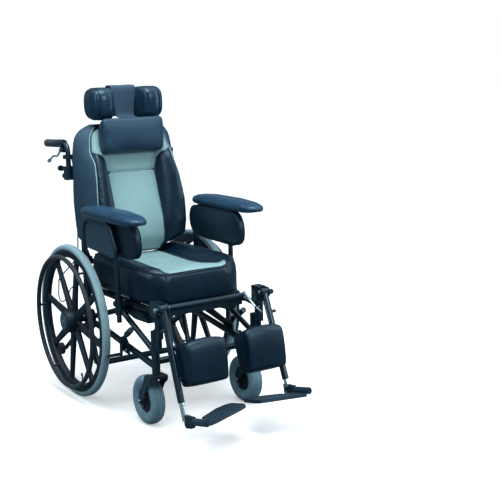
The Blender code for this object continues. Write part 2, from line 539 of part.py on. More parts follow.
def headrest():
    bar = (0.0, HEAD_Y, HEAD_Z)
    adds = [
        tube([(-HEAD_X, HEAD_Y, 0.880), (-HEAD_X, HEAD_Y, HEAD_Z + 0.0005)], 0.0060),
        tube([(HEAD_X, HEAD_Y, 0.880), (HEAD_X, HEAD_Y, HEAD_Z + 0.0005)], 0.0060),
        tube([(-0.0655, HEAD_Y, HEAD_Z), (0.0655, HEAD_Y, HEAD_Z)], 0.0064),
    ]
    part("headrest_stem", joined(adds), CHROME, (0.0, HEAD_Y, 1.0))
    rings = []
    #        x      front    back    bottom  top    chamfer
    rows = [(0.1620, 0.010, 0.074, 1.128, 1.196, 0.012),
            (0.1580, -0.008, 0.090, 1.112, 1.212, 0.020),
            (0.1430, -0.022, 0.101, 1.099, 1.224, 0.030),
            (0.1080, -0.029, 0.104, 1.095, 1.228, 0.034),
            (0.0740, -0.024, 0.104, 1.097, 1.226, 0.032),
            (0.0570, 0.006, 0.104, 1.102, 1.224, 0.026),
            (0.0520, 0.046, 0.104, 1.106, 1.222, 0.014)]
    rows = [(-r[0], *r[1:]) for r in rows] + [r for r in reversed(rows)]
    for x, y0, y1, z0, z1, c in rows:
        rings.append([(x, y0 + c, z0), (x, y1 - 0.010, z0), (x, y1, z0 + 0.010), (x, y1, z1 - 0.010),
                      (x, y1 - 0.010, z1), (x, y0 + c, z1), (x, y0, z1 - c), (x, y0, z0 + c)])
    pad = loft(rings)
    adds = [pad]
    for s in (-1, 1):
        adds.append(prism([(0.082, 1.080), (0.101, 1.080), (0.101, 1.112), (0.078, 1.112)], s * 0.0665, s * 0.0705))
    part("head_pad", joined(adds), LEATHER, bar)
    # strap over the pad, down its middle and out to the neck pillow
    t = 0.0028
    path = [(0.1072, 1.135), (0.1072, 1.2240), (0.1010, 1.2312), (0.0440, 1.2312), (0.0380, 1.2250),
            (0.0380, 1.1150), (0.0330, 1.1085), (0.0120, 1.1060)]
    inner, outer = [], []
    for i, (y, z) in enumerate(path):
        a = Vector(path[max(i - 1, 0)])
        b = Vector(path[min(i + 1, len(path) - 1)])
        d = (b - a).normalized()
        n = Vector((d.y, -d.x))
        inner.append((y, z))
        outer.append((y + n.x * t, z + n.y * t))
    ring = inner + list(reversed(outer))
    part("headrest_strap", prism(ring, -0.0470, 0.0470), FABRIC, bar)
    section = [(-0.045, 0.990), (-0.036, 0.970), (-0.014, 0.964), (0.002, 0.970), (0.0095, 0.990), (0.0105, 1.040),
               (0.0080, 1.070), (-0.003, 1.0905), (-0.018, 1.1050), (-0.031, 1.1120), (-0.044, 1.102), (-0.049, 1.040)]
    cy, cz = -0.019, 1.038
    rings = []
    for x, k in ((-0.134, 0.80), (-0.130, 0.92), (-0.118, 1.0), (0.118, 1.0), (0.130, 0.92), (0.134, 0.80)):
        rings.append([(x, cy + (y - cy) * k, cz + (z - cz) * k) for y, z in section])
    part("neck_pillow", loft(rings), FABRIC, bar)


def push_handle(side, s):
    x = s * HANDLE_X
    z = HANDLE_Z
    adds = [
        tube([(x, HANDLE_Y, 0.862), (x, HANDLE_Y, z), (x, 0.300, z - 0.006)], 0.0100, 0.030, 12, 4),
        rod((x, 0.136, z), (x, 0.190, z - 0.002), 0.0165, 10),
        box(x - 0.0060, x + 0.0060, 0.134, 0.162, z - 0.036, z - 0.010),
    ]
    part(f"push_handle_{side}", joined(adds), BLACK_PAINT, (x, HANDLE_Y, 0.93))
    # grip: a sleeve over the handle tube
    grip = joined([rod((x, 0.1925, z - 0.0025), (x, 0.3070, z - 0.0062), 0.0160, 12)],
                  [rod((x, 0.1900, z - 0.0024), (x, 0.3015, z - 0.0060), 0.0104, 12)])
    part(f"handle_grip_{side}", grip, RUBBER, (x, 0.250, z))
    px, py, pz = x, 0.1480, z - 0.0270
    adds = [
        tube([(s * 0.2392, py, pz), (s * 0.2392, 0.180, z - 0.052), (s * 0.2300, 0.250, z - 0.058),
              (s * 0.2290, 0.292, z - 0.078)], 0.0042, 0.02, 8),
        rod((s * 0.2350, py, pz), (s * 0.2434, py, pz), 0.0085, 10),
        rod((s * 0.2290, 0.288, z - 0.0755), (s * 0.2290, 0.300, z - 0.0820), 0.0078, 8),
    ]
    part(f"handle_lever_{side}", joined(adds), CHROME, (px, py, pz))


# ================================================================ springs and cables
def toward(p, q, t):
    return tuple(Vector(p) + (Vector(q) - Vector(p)) * t)


def spring(tag, x, low, high, body_len, rod_len):
    """gas spring between two eyes: cylinder at the low end, rod at the high end"""
    a, b = Vector((x, *low)), Vector((x, *high))
    d = (b - a).normalized()
    length = (b - a).length
    cyl = joined([
        rod(a + d * 0.018, a + d * body_len, 0.0110, 12),
        rod(a + d * 0.004, a + d * 0.020, 0.0050, 10),
        rod((x - 0.0055, *low), (x + 0.0055, *low), 0.0095, 12),
    ], [rod(a + d * 0.026, a + d * (body_len + 0.01), 0.0056, 10)])
    part(f"{tag}_spring_cylinder", cyl, BLACK_PAINT, a)
    r = joined([
        rod(b - d * 0.004, b - d * rod_len, 0.0048, 10),
        rod((x - 0.0055, *high), (x + 0.0055, *high), 0.0095, 12),
    ])
    part(f"{tag}_spring_rod", r, CHROME, b)


def cables():
    """control cables: each runs from a hand lever to the release head of one spring"""
    hx = HANDLE_X - 0.0110
    down = [(0.2020, 0.1180, 0.930), (0.1960, 0.1220, 0.860), (0.1950, 0.1215, 0.760)]
    head = [(hx, 0.1620, HANDLE_Z - 0.0240), (hx, 0.1420, HANDLE_Z - 0.0280), (0.2100, 0.1240, 0.966)]
    part("recline_cable", tube([(x, y, z) for x, y, z in head + down] + [
        (0.1800, 0.1300, 0.722), (0.1200, 0.1500, 0.690), (0.0300, 0.1640, 0.700), (-0.0350, 0.1560, 0.694),
        (-0.0560, 0.1500, 0.682)], 0.0028, 0.03, 6, 3), CABLE)
    part("tilt_cable_upper", tube([(-x, y, z) for x, y, z in head + down] + [
        (-0.1950, 0.1215, 0.640), (-0.1960, 0.1260, 0.575)], 0.0028, 0.03, 6, 3), CABLE)
    part("tilt_cable_lower", tube([
        (-0.2045, 0.1250, 0.566), (-0.2065, 0.1420, 0.520), (-0.2140, 0.1900, 0.485), (-0.2500, 0.2150, 0.440),
        (-0.2580, 0.2120, 0.352), (-0.2560, 0.1600, 0.345), (-0.2300, 0.1350, 0.415), (-0.1850, 0.1150, 0.425),
        (-0.1400, 0.0500, 0.400), (-0.0600, -0.0300, 0.392), (0.0300, -0.0900, 0.392)], 0.0028, 0.03, 6, 3), CABLE)


# ================================================================ legrests
def leg_point(s, d, off=0.0):
    """a point d below the knee pivot along the leg tube of one side and off in front of it"""
    a = LEG_LEAN[s]
    return (KNEE_Y - sin(a) * d - cos(a) * off, KNEE_Z - cos(a) * d + sin(a) * off)


def legrest(side, s):
    x = s * LEG_X
    knee = (x, KNEE_Y, KNEE_Z)
    # hanger: post below, bridge in front of the seat frame's short post, head with two cheeks
    cheek = [(-0.590, 0.440), (-0.636, 0.443), (-0.646, 0.456), (-0.643, 0.470), (-0.632, 0.478), (-0.590, 0.479)]
    hang = [
        rod((s * 0.2145, SWING_Y, 0.300), (s * 0.2145, SWING_Y, 0.3750), TUBE_R),
        box(s * 0.2060, s * 0.2250, -0.6055, -0.5980, 0.344, 0.452),
        box(s * 0.2040, s * 0.2240, -0.6030, -0.5770, 0.347, 0.366),
        box(s * 0.1985, s * 0.2345, -0.6080, -0.5660, 0.4262, 0.4800),
        prism(cheek, s * 0.1988, s * 0.2032),
        prism(cheek, s * 0.2298, s * 0.2342),
        rod((s * 0.2330, KNEE_Y - 0.003, KNEE_Z - 0.002), (s * 0.2490, KNEE_Y - 0.003, KNEE_Z - 0.002), 0.0100, 10),
        rod((s * 0.1940, KNEE_Y, KNEE_Z), (s * 0.1995, KNEE_Y, KNEE_Z), 0.0085, 10),
    ]
    part(f"leg_hanger_{side}", joined(hang), BLACK_PAINT, (s * 0.2145, SWING_Y, 0.400))

    # leg tube: hollow at the foot end for the chrome slide, brackets that carry the calf pad
    y0, z0 = leg_point(s, 0.0)
    y1, z1 = leg_point(s, 0.335)
    adds = [
        rod((x, y0, z0), (x, y1, z1), 0.0125, 12),
        rod((x - s * 0.0125, KNEE_Y, KNEE_Z), (x + s * 0.0125, KNEE_Y, KNEE_Z), 0.0145, 12),
        rod((x, *leg_point(s, 0.078)), (s * 0.2420, *leg_point(s, 0.078, 0.003)), 0.0065, 8),
        tube([(s * 0.2030, *leg_point(s, 0.0385, 0.003)), (s * 0.2045, *leg_point(s, 0.118, 0.003))], 0.0040, 0.0, 8),
        rod((x, *leg_point(s, 0.045)), (s * 0.2010, *leg_point(s, 0.045, 0.003)), 0.0050, 8),
    ]
    for d in (0.140, 0.255):
        p = leg_point(s, d, 0.010)
        adds.append(rod((x, *p), (s * 0.2022, *p), 0.0065, 8))
    yb, zb = leg_point(s, 0.215)
    yc, zc = leg_point(s, 0.345)
    cut = rod((x, yb, zb), (x, yc, zc), 0.0093, 12)
    part(f"leg_tube_{side}", joined(adds, [cut]), BLACK_PAINT, knee)

    # chrome slide with the hinge rail for the footplate
    ry, rz, rise, roll, low = FOOT_RAIL[s]
    d = Vector((0.0, -cos(rise), sin(rise)))
    rail0 = Vector((s * 0.2145, ry, rz))
    end = 0.400 if s < 0 else 0.386
    s0, s1 = leg_point(s, 0.275), leg_point(s, end)
    block = []
    for along, above in ((-0.009, 0.022), (0.030, 0.018), (0.054, 0.016), (0.054, -0.012), (0.036, -0.024), (-0.002, -0.024),
                         (-0.009, -0.014)):
        block.append((ry - along * cos(rise) + above * sin(rise), rz + along * sin(rise) + above * cos(rise)))
    adds = [
        rod((x, *s0), (x, *s1), 0.0089, 12),
        prism(block, s * 0.2075, s * 0.2215),
        rod(rail0, rail0 + d * 0.1470, 0.0085, 10),
    ]
    part(f"foot_slide_{side}", joined(adds), CHROME, (x, *s1))

    # footplate: knuckle round the rail, blade inboard, toe end and inner end a little high
    c = rail0 + d * 0.0575
    out = [(0.0105, -0.0015), (0.0105, 0.0850), (0.0300, 0.0870), (0.1560, 0.0560), (0.1850, 0.0440), (0.1920, 0.0200),
           (0.1900, -0.0550), (0.1750, -0.0720), (0.1300, -0.0720), (0.0450, -0.0300), (0.0450, -0.0015)]
    bm = bmesh.new()
    vs = [bm.verts.new((-s * a, -b, low - 0.0130)) for a, b in out]
    f = bm.faces.new(vs)
    ext = bmesh.ops.extrude_face_region(bm, geom=[f])
    bmesh.ops.translate(bm, vec=(0, 0, 0.0120), verts=[g for g in ext["geom"] if isinstance(g, bmesh.types.BMVert)])
    turn = Matrix.Rotation(-rise, 4, "X") @ Matrix.Rotation(s * radians(roll), 4, "Y")
    bmesh.ops.transform(bm, matrix=Matrix.Translation(c) @ turn, verts=bm.verts)
    adds = [to_object(bm), rod(c, c + d * 0.0850, 0.0135, 12)]
    cuts = [rod(c - d * 0.010, c + d * 0.105, 0.0090, 12)]
    part(f"footplate_{side}", joined(adds, cuts), BLACK_PLASTIC, c)

    # calf pad: thick cushion on the inside of the leg tube
    rings = []
    outline = [(0.129, -0.006), (0.127, 0.030), (0.125, 0.074), (0.131, 0.089), (0.148, 0.095), (0.200, 0.089),
               (0.262, 0.074), (0.283, 0.068), (0.290, 0.056), (0.290, 0.030), (0.287, -0.004), (0.276, -0.013),
               (0.140, -0.013)]
    cd, co = 0.2070, 0.040
    for xx, k in ((0.2010, 0.95), (0.1960, 1.0), (0.0450, 1.0), (0.0395, 0.95)):
        ring = []
        for d, o in outline:
            yy, zz = leg_point(s, cd + (d - cd) * k, co + (o - co) * k)
            ring.append((s * xx, yy, zz))
        rings.append(ring)
    part(f"calf_pad_{side}", loft(rings), LEATHER, knee)

    # release lever of the hanger
    py, pz = -0.6120, 0.4000
    adds = [
        rod((s * 0.1905, py + 0.009, pz), (s * 0.2056, py + 0.009, pz), 0.0060, 10),
        tube([(s * 0.1975, -0.6360, 0.388), (s * 0.1935, -0.6030, 0.401), (s * 0.1860, -0.5700, 0.426),
              (s * 0.1800, -0.5420, 0.456)], 0.0042, 0.01, 8),
    ]
    part(f"hanger_lever_{side}", joined(adds), STEEL, (s * 0.1980, py + 0.009, pz))


# ================================================================ build
base_frame()
for side, s in SIDES:
    rear_wheel(side, s)
    caster(side, s)
    anti_tip(side, s)
    wheel_lock(side, s)
seat_frame()
seat_soft()
for side, s in SIDES:
    armrest(side, s)
back_frame()
back_cushion()
headrest()
for side, s in SIDES:
    push_handle(side, s)
    legrest(side, s)
cables()
spring("tilt", 0.0600, (-0.0455, 0.1560), (-0.1200, 0.4020), 0.165, 0.170)
spring("recline", -0.0600, (0.1120, 0.4000), (0.1370, 0.6600), 0.160, 0.150)

bpy.data.collections.remove(work)
bpy.context.view_layer.update()
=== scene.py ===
from math import cos, pi, radians, sin

import bpy
import bmesh
import numpy as np
from mathutils import Matrix, Vector
from mathutils.bvhtree import BVHTree
from mathutils.geometry import delaunay_2d_cdt
from mathutils.kdtree import KDTree


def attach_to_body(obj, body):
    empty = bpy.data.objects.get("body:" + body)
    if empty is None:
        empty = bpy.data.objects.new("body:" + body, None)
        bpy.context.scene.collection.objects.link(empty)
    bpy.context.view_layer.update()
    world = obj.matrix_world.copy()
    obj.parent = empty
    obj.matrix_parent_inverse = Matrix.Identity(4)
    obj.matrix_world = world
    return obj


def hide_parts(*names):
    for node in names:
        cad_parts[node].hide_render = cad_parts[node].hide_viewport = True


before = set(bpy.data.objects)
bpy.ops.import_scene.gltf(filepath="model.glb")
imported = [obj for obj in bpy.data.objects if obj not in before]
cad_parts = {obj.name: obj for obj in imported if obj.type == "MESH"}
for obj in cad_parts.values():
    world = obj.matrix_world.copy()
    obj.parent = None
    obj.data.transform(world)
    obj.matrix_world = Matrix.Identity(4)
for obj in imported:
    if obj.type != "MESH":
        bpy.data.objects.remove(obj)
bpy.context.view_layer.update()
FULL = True

# Lengths in metres. Soft pieces and wheels are laid out with y = 0 at the rear axle,
# and moved to the frame by SHIFT.
SHIFT = 0.30385
AXLE_Z = 0.3075
SIDES = (("right", -1.0), ("left", 1.0))
scene = bpy.context.scene


# ---------------------------------------------------------------- camera
def make_camera():
    data = bpy.data.cameras.new("camera")
    data.sensor_fit = "HORIZONTAL"
    data.sensor_width = 36.0
    data.lens = 74.65
    data.clip_start, data.clip_end = 0.1, 80.0
    az, el, roll = radians(33.12), radians(9.98), radians(-1.44)
    view = Vector((sin(az) * cos(el), cos(az) * cos(el), -sin(el)))
    right = Vector((cos(az), -sin(az), 0.0))
    up = right.cross(view)
    r = right * cos(roll) + up * sin(roll)
    u = up * cos(roll) - right * sin(roll)
    cam = bpy.data.objects.new("camera", data)
    m = Matrix((r, u, -view)).transposed().to_4x4()
    m.translation = (-1.90019, -3.47939, 1.31325)
    cam.matrix_world = m
    scene.collection.objects.link(cam)
    scene.camera = cam


make_camera()
scene.view_settings.view_transform = "Standard"
scene.view_settings.look = "None"


# ---------------------------------------------------------------- materials
class Look:
    """A Principled material with helpers that add and link nodes."""

    def __init__(self, name, **sockets):
        self.mat = bpy.data.materials.new(name)
        self.mat.use_nodes = True
        self.tree = self.mat.node_tree
        self.bsdf = next(n for n in self.tree.nodes if n.type == "BSDF_PRINCIPLED")
        for k, v in sockets.items():
            self.bsdf.inputs[k.replace("_", " ")].default_value = v
        self.place = self.tree.nodes.new("ShaderNodeTexCoord").outputs["Object"]

    def node(self, kind, ins=None, **props):
        n = self.tree.nodes.new("ShaderNode" + kind)
        for k, v in props.items():
            setattr(n, k, v)
        for k, v in (ins or {}).items():
            self.set(n.inputs[k], v)
        return n

    def set(self, socket, v):
        if isinstance(v, bpy.types.NodeSocket):
            self.tree.links.new(v, socket)
        else:
            socket.default_value = v

    def math(self, op, a, b=0.0, clamp=False):
        n = self.node("Math", {0: a, 1: b}, operation=op)
        n.use_clamp = clamp
        return n.outputs[0]

    def noise(self, scale, detail=4.0, rough=0.5, at=None, distortion=0.0):
        return self.node("TexNoise", {"Vector": at or self.place, "Scale": scale, "Detail": detail,
                                      "Roughness": rough, "Distortion": distortion}).outputs["Fac"]

    def voronoi(self, scale, feature="F1", at=None, rand=1.0):
        return self.node("TexVoronoi", {"Vector": at or self.place, "Scale": scale, "Randomness": rand},
                         feature=feature).outputs["Distance"]

    def ramp(self, fac, stops):
        n = self.node("ValToRGB", {"Fac": fac})
        el = n.color_ramp.elements
        while len(el) < len(stops):
            el.new(0.5)
        for e, (p, c) in zip(el, stops):
            e.position = p
            e.color = c if len(c) == 4 else (*c, 1.0)
        return n.outputs["Color"]

    def span(self, fac, lo, hi, a=0.0, b=1.0):
        return self.node("MapRange", {"Value": fac, "From Min": a, "From Max": b, "To Min": lo, "To Max": hi}).outputs[0]

    def mix(self, fac, a, b, kind="MIX"):
        n = self.node("Mix", None, data_type="RGBA", blend_type=kind)
        self.set(n.inputs[0], fac)
        self.set(n.inputs[6], a)
        self.set(n.inputs[7], b)
        return n.outputs[2]

    def bump(self, height, distance, strength=1.0, normal=None):
        ins = {"Height": height, "Distance": distance, "Strength": strength}
        if normal is not None:
            ins["Normal"] = normal
        return self.node("Bump", ins).outputs[0]

    def stretch(self, sx, sy, sz):
        return self.node("Mapping", {"Vector": self.place, "Scale": (sx, sy, sz)}).outputs[0]

    def to(self, **links):
        for k, v in links.items():
            self.set(self.bsdf.inputs[k.replace("_", " ")], v)
        return self.mat


def rgb(r, g, b, k=1.0):
    """linear colour of an sRGB triple, times k"""
    def lin(c):
        c /= 255.0
        return (c / 12.92 if c <= 0.04045 else ((c + 0.055) / 1.055) ** 2.4) * k
    return (lin(r), lin(g), lin(b), 1.0)


def leather(name, dark, light, rough=(0.34, 0.50), grain=0.00035):
    g = Look(name, IOR=1.46)
    g.bsdf.inputs["Specular Tint"].default_value = (0.62, 0.86, 1.0, 1)
    cell = g.voronoi(720.0)
    fine = g.voronoi(1500.0, at=g.stretch(1.0, 1.15, 0.9))
    broad = g.noise(9.0, 5.0, 0.55)
    creases = g.noise(46.0, 6.0, 0.62, distortion=0.6)
    tone = g.ramp(broad, [(0.30, dark), (0.72, light)])
    tone = g.mix(g.span(cell, 0.32, 0.0, 0.0, 0.55), tone, (dark[0] * 0.5, dark[1] * 0.5, dark[2] * 0.5, 1))
    height = g.math("ADD", g.math("MULTIPLY", cell, 0.62), g.math("MULTIPLY", fine, 0.38))
    n = g.bump(creases, 0.0014, 0.22)
    n = g.bump(height, grain, 0.45, n)
    r = g.span(g.math("ADD", g.math("MULTIPLY", broad, 0.6), g.math("MULTIPLY", creases, 0.4)), rough[0], rough[1], 0.3, 0.7)
    return g.to(Base_Color=tone, Roughness=r, Normal=n)


def woven(name, dark, light, pitch, depth, rough=0.82, sheen=0.25, fleck=0.5, sheen_tint=(0.7, 0.85, 1.0, 1)):
    g = Look(name, IOR=1.45)
    g.bsdf.inputs["Sheen Weight"].default_value = sheen
    g.bsdf.inputs["Sheen Roughness"].default_value = 0.42
    g.bsdf.inputs["Sheen Tint"].default_value = sheen_tint
    g.bsdf.inputs["Specular IOR Level"].default_value = 0.35
    xyz = g.node("SeparateXYZ", {0: g.place})
    k = 2 * pi / pitch
    across = g.math("MULTIPLY", xyz.outputs[0], k)
    along = g.math("MULTIPLY", g.math("ADD", xyz.outputs[1], xyz.outputs[2]), k)
    weave = g.math("MULTIPLY", g.math("SINE", across), g.math("SINE", along))
    warp = g.math("ABSOLUTE", g.math("SINE", g.math("MULTIPLY", across, 0.5)))
    slub = g.noise(1.0, 3.0, 0.6, at=g.stretch(900.0, 55.0, 55.0))
    slub2 = g.noise(1.0, 3.0, 0.6, at=g.stretch(60.0, 900.0, 900.0))
    cloudy = g.noise(7.0, 4.0, 0.55)
    thread = g.math("ADD", g.math("MULTIPLY", slub, 0.5), g.math("MULTIPLY", slub2, 0.5))
    tone = g.ramp(g.math("ADD", g.math("MULTIPLY", cloudy, 0.6), g.math("MULTIPLY", thread, fleck)),
                  [(0.32, dark), (0.78, light)])
    tone = g.mix(g.span(weave, 0.22, 0.0, -1.0, 0.6), tone, (dark[0] * 0.45, dark[1] * 0.45, dark[2] * 0.45, 1))
    height = g.math("ADD", g.math("MULTIPLY", g.math("ADD", weave, warp), 0.35), g.math("MULTIPLY", thread, 0.5))
    n = g.bump(g.noise(30.0, 4.0, 0.5), 0.0015, 0.22)
    n = g.bump(height, depth, 0.8, n)
    return g.to(Base_Color=tone, Roughness=g.span(thread, rough - 0.1, rough + 0.08, 0.3, 0.7), Normal=n)


def paint(name, dark, light, rough=(0.24, 0.42), coat=0.35, scuff=(0.016, 0.030, 0.042, 1)):
    g = Look(name, IOR=1.5)
    g.bsdf.inputs["Coat Weight"].default_value = coat
    g.bsdf.inputs["Coat Roughness"].default_value = 0.16
    g.bsdf.inputs["Coat Tint"].default_value = (0.80, 0.93, 1.0, 1)
    g.bsdf.inputs["Specular Tint"].default_value = (0.62, 0.86, 1.0, 1)
    broad = g.noise(11.0, 4.0, 0.5)
    peel = g.noise(420.0, 2.0, 0.5)
    speck = g.noise(150.0, 6.0, 0.7)
    tone = g.ramp(broad, [(0.32, dark), (0.70, light)])
    worn = g.ramp(speck, [(0.66, (0, 0, 0)), (0.72, (1, 1, 1))])
    tone = g.mix(g.math("MULTIPLY", worn, 0.35), tone, scuff)
    n = g.bump(peel, 0.00012, 0.5)
    r = g.span(g.math("ADD", g.math("MULTIPLY", broad, 0.5), g.math("MULTIPLY", speck, 0.5)), rough[0], rough[1], 0.3, 0.7)
    return g.to(Base_Color=tone, Roughness=r, Normal=n)


def moulded(name, dark, light, rough=(0.38, 0.55), pebble=0.00022, scale=900.0):
    g = Look(name, IOR=1.46)
    broad = g.noise(13.0, 5.0, 0.55)
    tex = g.voronoi(scale)
    dust = g.noise(65.0, 6.0, 0.65)
    tone = g.ramp(g.math("ADD", g.math("MULTIPLY", broad, 0.65), g.math("MULTIPLY", dust, 0.35)), [(0.34, dark), (0.68, light)])
    n = g.bump(dust, 0.0005, 0.15)
    n = g.bump(tex, pebble, 0.65, n)
    return g.to(Base_Color=tone, Roughness=g.span(dust, rough[0], rough[1], 0.3, 0.7), Normal=n)


def rubber(name, dark, light, rough=(0.58, 0.78), dirt=(0.17, 0.22, 0.24, 1), dirt_amount=0.35):
    g = Look(name, IOR=1.48)
    g.bsdf.inputs["Sheen Weight"].default_value = 0.08
    g.bsdf.inputs["Sheen Roughness"].default_value = 0.6
    broad = g.noise(8.0, 5.0, 0.55)
    mid = g.noise(55.0, 6.0, 0.68)
    fine = g.noise(900.0, 3.0, 0.6)
    tone = g.ramp(g.math("ADD", g.math("MULTIPLY", broad, 0.55), g.math("MULTIPLY", mid, 0.45)), [(0.33, dark), (0.70, light)])
    spots = g.ramp(mid, [(0.56, (0, 0, 0)), (0.74, (1, 1, 1))])
    tone = g.mix(g.math("MULTIPLY", spots, dirt_amount), tone, dirt)
    n = g.bump(mid, 0.0006, 0.18)
    n = g.bump(fine, 0.00018, 0.5, n)
    return g.to(Base_Color=tone, Roughness=g.span(mid, rough[0], rough[1], 0.3, 0.7), Normal=n)


def metal(name, dark, light, rough=(0.10, 0.24), brushed=0.0):
    g = Look(name, Metallic=1.0)
    broad = g.noise(16.0, 4.0, 0.55)
    smear = g.noise(1.0, 4.0, 0.6, at=g.stretch(700.0, 60.0, 60.0))
    haze = g.noise(85.0, 5.0, 0.65)
    tone = g.ramp(broad, [(0.30, dark), (0.72, light)])
    r = g.span(g.math("ADD", g.math("MULTIPLY", haze, 0.55), g.math("MULTIPLY", smear, 0.45)), rough[0], rough[1], 0.3, 0.7)
    n = g.bump(smear, 0.00006 + brushed, 0.5)
    return g.to(Base_Color=tone, Roughness=r, Normal=n)


LEATHER = leather("leather_navy", rgb(3, 18, 33), rgb(9, 29, 46), (0.28, 0.42))
SIDE_VINYL = leather("vinyl_side", rgb(36, 57, 74), rgb(46, 69, 86), (0.44, 0.58), 0.00030)
HEAD_LEATHER = leather("leather_head", rgb(14, 36, 52), rgb(25, 50, 66), (0.20, 0.32), 0.00025)
PILLOW = leather("pillow_vinyl", rgb(31, 52, 70), rgb(42, 65, 84), (0.36, 0.50), 0.00025)
PAD = leather("leather_arm_pad", rgb(26, 52, 76), rgb(38, 67, 92), (0.24, 0.36), 0.00025)
PIPING_DARK = leather("leather_piping", rgb(6, 20, 34), rgb(14, 31, 47), (0.28, 0.42), 0.0002)
# pale grey piping: real piping, and its light colour is also a painted highlight along the back's front ridge
PIPING_PAINTED_HIGHLIGHT = leather("vinyl_piping_grey", rgb(120, 145, 156), rgb(150, 176, 186), (0.32, 0.46), 0.0002)
SILVER = woven("silver_fabric", rgb(120, 151, 154), rgb(141, 172, 174), 0.0021, 0.00035, 0.62, 0.14, 0.42)
WOVEN = woven("woven_blue_grey", rgb(42, 62, 82), rgb(54, 75, 96), 0.0015, 0.00030, 0.80, 0.12, 0.55)
PAINT = paint("black_paint", rgb(5, 18, 28), rgb(12, 28, 40))
PLASTIC = moulded("black_plastic", rgb(7, 22, 34), rgb(15, 34, 48))
PLATE_TOP = moulded("footplate_plastic", rgb(20, 38, 52), rgb(31, 51, 66), (0.34, 0.50))
HUB_GREY = moulded("hub_cap_grey", rgb(44, 68, 84), rgb(60, 86, 102), (0.36, 0.50))
TYRE = rubber("grey_tyre", rgb(128, 155, 164), rgb(150, 177, 185))
CASTER_TYRE = rubber("grey_caster_tyre", rgb(94, 124, 139), rgb(116, 146, 159))
RUBBER = rubber("black_rubber", rgb(8, 21, 31), rgb(17, 33, 45), (0.50, 0.70), rgb(36, 54, 66), 0.2)
SKIRT = moulded("skirt_panel", rgb(37, 58, 75), rgb(49, 72, 89), (0.42, 0.58), 0.00030, 600.0)
CHROME = metal("chrome_plate", (0.62, 0.74, 0.77, 1), (0.80, 0.88, 0.90, 1))
STEEL = metal("brushed_steel", (0.22, 0.30, 0.34, 1), (0.34, 0.43, 0.47, 1), (0.26, 0.42), 0.00008)
CABLE = moulded("cable_sheath", rgb(34, 52, 62), rgb(52, 72, 84), (0.34, 0.46), 0.0001, 1500.0)
THREAD = woven("stitch_thread", rgb(120, 148, 158), rgb(160, 188, 196), 0.0006, 0.0001)
THREAD_DARK = woven("stitch_thread_dark", rgb(20, 38, 54), rgb(34, 54, 72), 0.0006, 0.0001)

BY_SLOT = {"black_paint": PAINT, "black_plastic": PLASTIC, "grey_tyre": TYRE, "chrome_plate": CHROME, "steel": STEEL,
           "leather": LEATHER, "grey_fabric": WOVEN, "black_rubber": RUBBER, "skirt_panel": SKIRT, "cable_sheath": CABLE}


# ---------------------------------------------------------------- mesh helpers
def new_object(name, verts, faces, mat, smooth=True):
    me = bpy.data.meshes.new(name)
    me.from_pydata([tuple(v) for v in verts], [], [tuple(f) for f in faces])
    bm = bmesh.new()
    bm.from_mesh(me)
    bmesh.ops.remove_doubles(bm, verts=bm.verts, dist=1e-6)
    bmesh.ops.recalc_face_normals(bm, faces=bm.faces)
    bm.to_mesh(me)
    bm.free()
    if smooth:
        me.shade_smooth()
    o = bpy.data.objects.new(name, me)
    scene.collection.objects.link(o)
    me.materials.append(mat)
    return o


def shifted(points):
    p = np.array(points, float)
    p[..., 1] += SHIFT
    return p


def spline(points, n, closed=False):
    """n points spread evenly on a smooth curve through the given ones"""
    p = np.array(points, float)
    q = np.vstack([p[-1:], p, p[:2]]) if closed else np.vstack([2 * p[0] - p[1], p, 2 * p[-1] - p[-2]])
    out = []
    for i in range(len(q) - 3):
        p0, p1, p2, p3 = q[i:i + 4]
        t = [0.0]
        for a, b in ((p0, p1), (p1, p2), (p2, p3)):
            t.append(t[-1] + max(np.linalg.norm(b - a), 1e-6) ** 0.5)
        u = np.linspace(t[1], t[2], 16, endpoint=False)[:, None]
        a1 = (t[1] - u) / (t[1] - t[0]) * p0 + (u - t[0]) / (t[1] - t[0]) * p1
        a2 = (t[2] - u) / (t[2] - t[1]) * p1 + (u - t[1]) / (t[2] - t[1]) * p2
        a3 = (t[3] - u) / (t[3] - t[2]) * p2 + (u - t[2]) / (t[3] - t[2]) * p3
        b1 = (t[2] - u) / (t[2] - t[0]) * a1 + (u - t[0]) / (t[2] - t[0]) * a2
        b2 = (t[3] - u) / (t[3] - t[1]) * a2 + (u - t[1]) / (t[3] - t[1]) * a3
        out.append((t[2] - u) / (t[2] - t[1]) * b1 + (u - t[1]) / (t[2] - t[1]) * b2)
    d = np.vstack(out + [p[:1] if closed else p[-1:]])
    return even(d, n, closed)


def even(d, n, closed=False):
    """n points spread evenly along a polyline"""
    d = np.array(d, float)
    s = np.concatenate([[0], np.cumsum(np.linalg.norm(np.diff(d, axis=0), axis=1))])
    at = np.linspace(0, s[-1], n + 1)[:-1] if closed else np.linspace(0, s[-1], n)
    return np.stack([np.interp(at, s, d[:, k]) for k in range(d.shape[1])], 1)


def smooth_rows(rows, n, blur=1.5):
    """rows keyed by their first column, filled in to n rows and softened"""
    rows = np.array(rows, float)
    rows = rows[np.argsort(rows[:, 0])]
    t = np.linspace(rows[0, 0], rows[-1, 0], n)
    k = int(np.ceil(blur * 3))
    w = np.exp(-0.5 * (np.arange(-k, k + 1) / blur) ** 2)
    w /= w.sum()
    out = [t]
    for c in range(1, rows.shape[1]):
        v = np.interp(t, rows[:, 0], rows[:, c])
        e = np.concatenate([2 * v[0] - v[k:0:-1], v, 2 * v[-1] - v[-2:-k - 2:-1]])
        out.append(np.convolve(e, w, "valid"))
    return np.stack(out, 1)


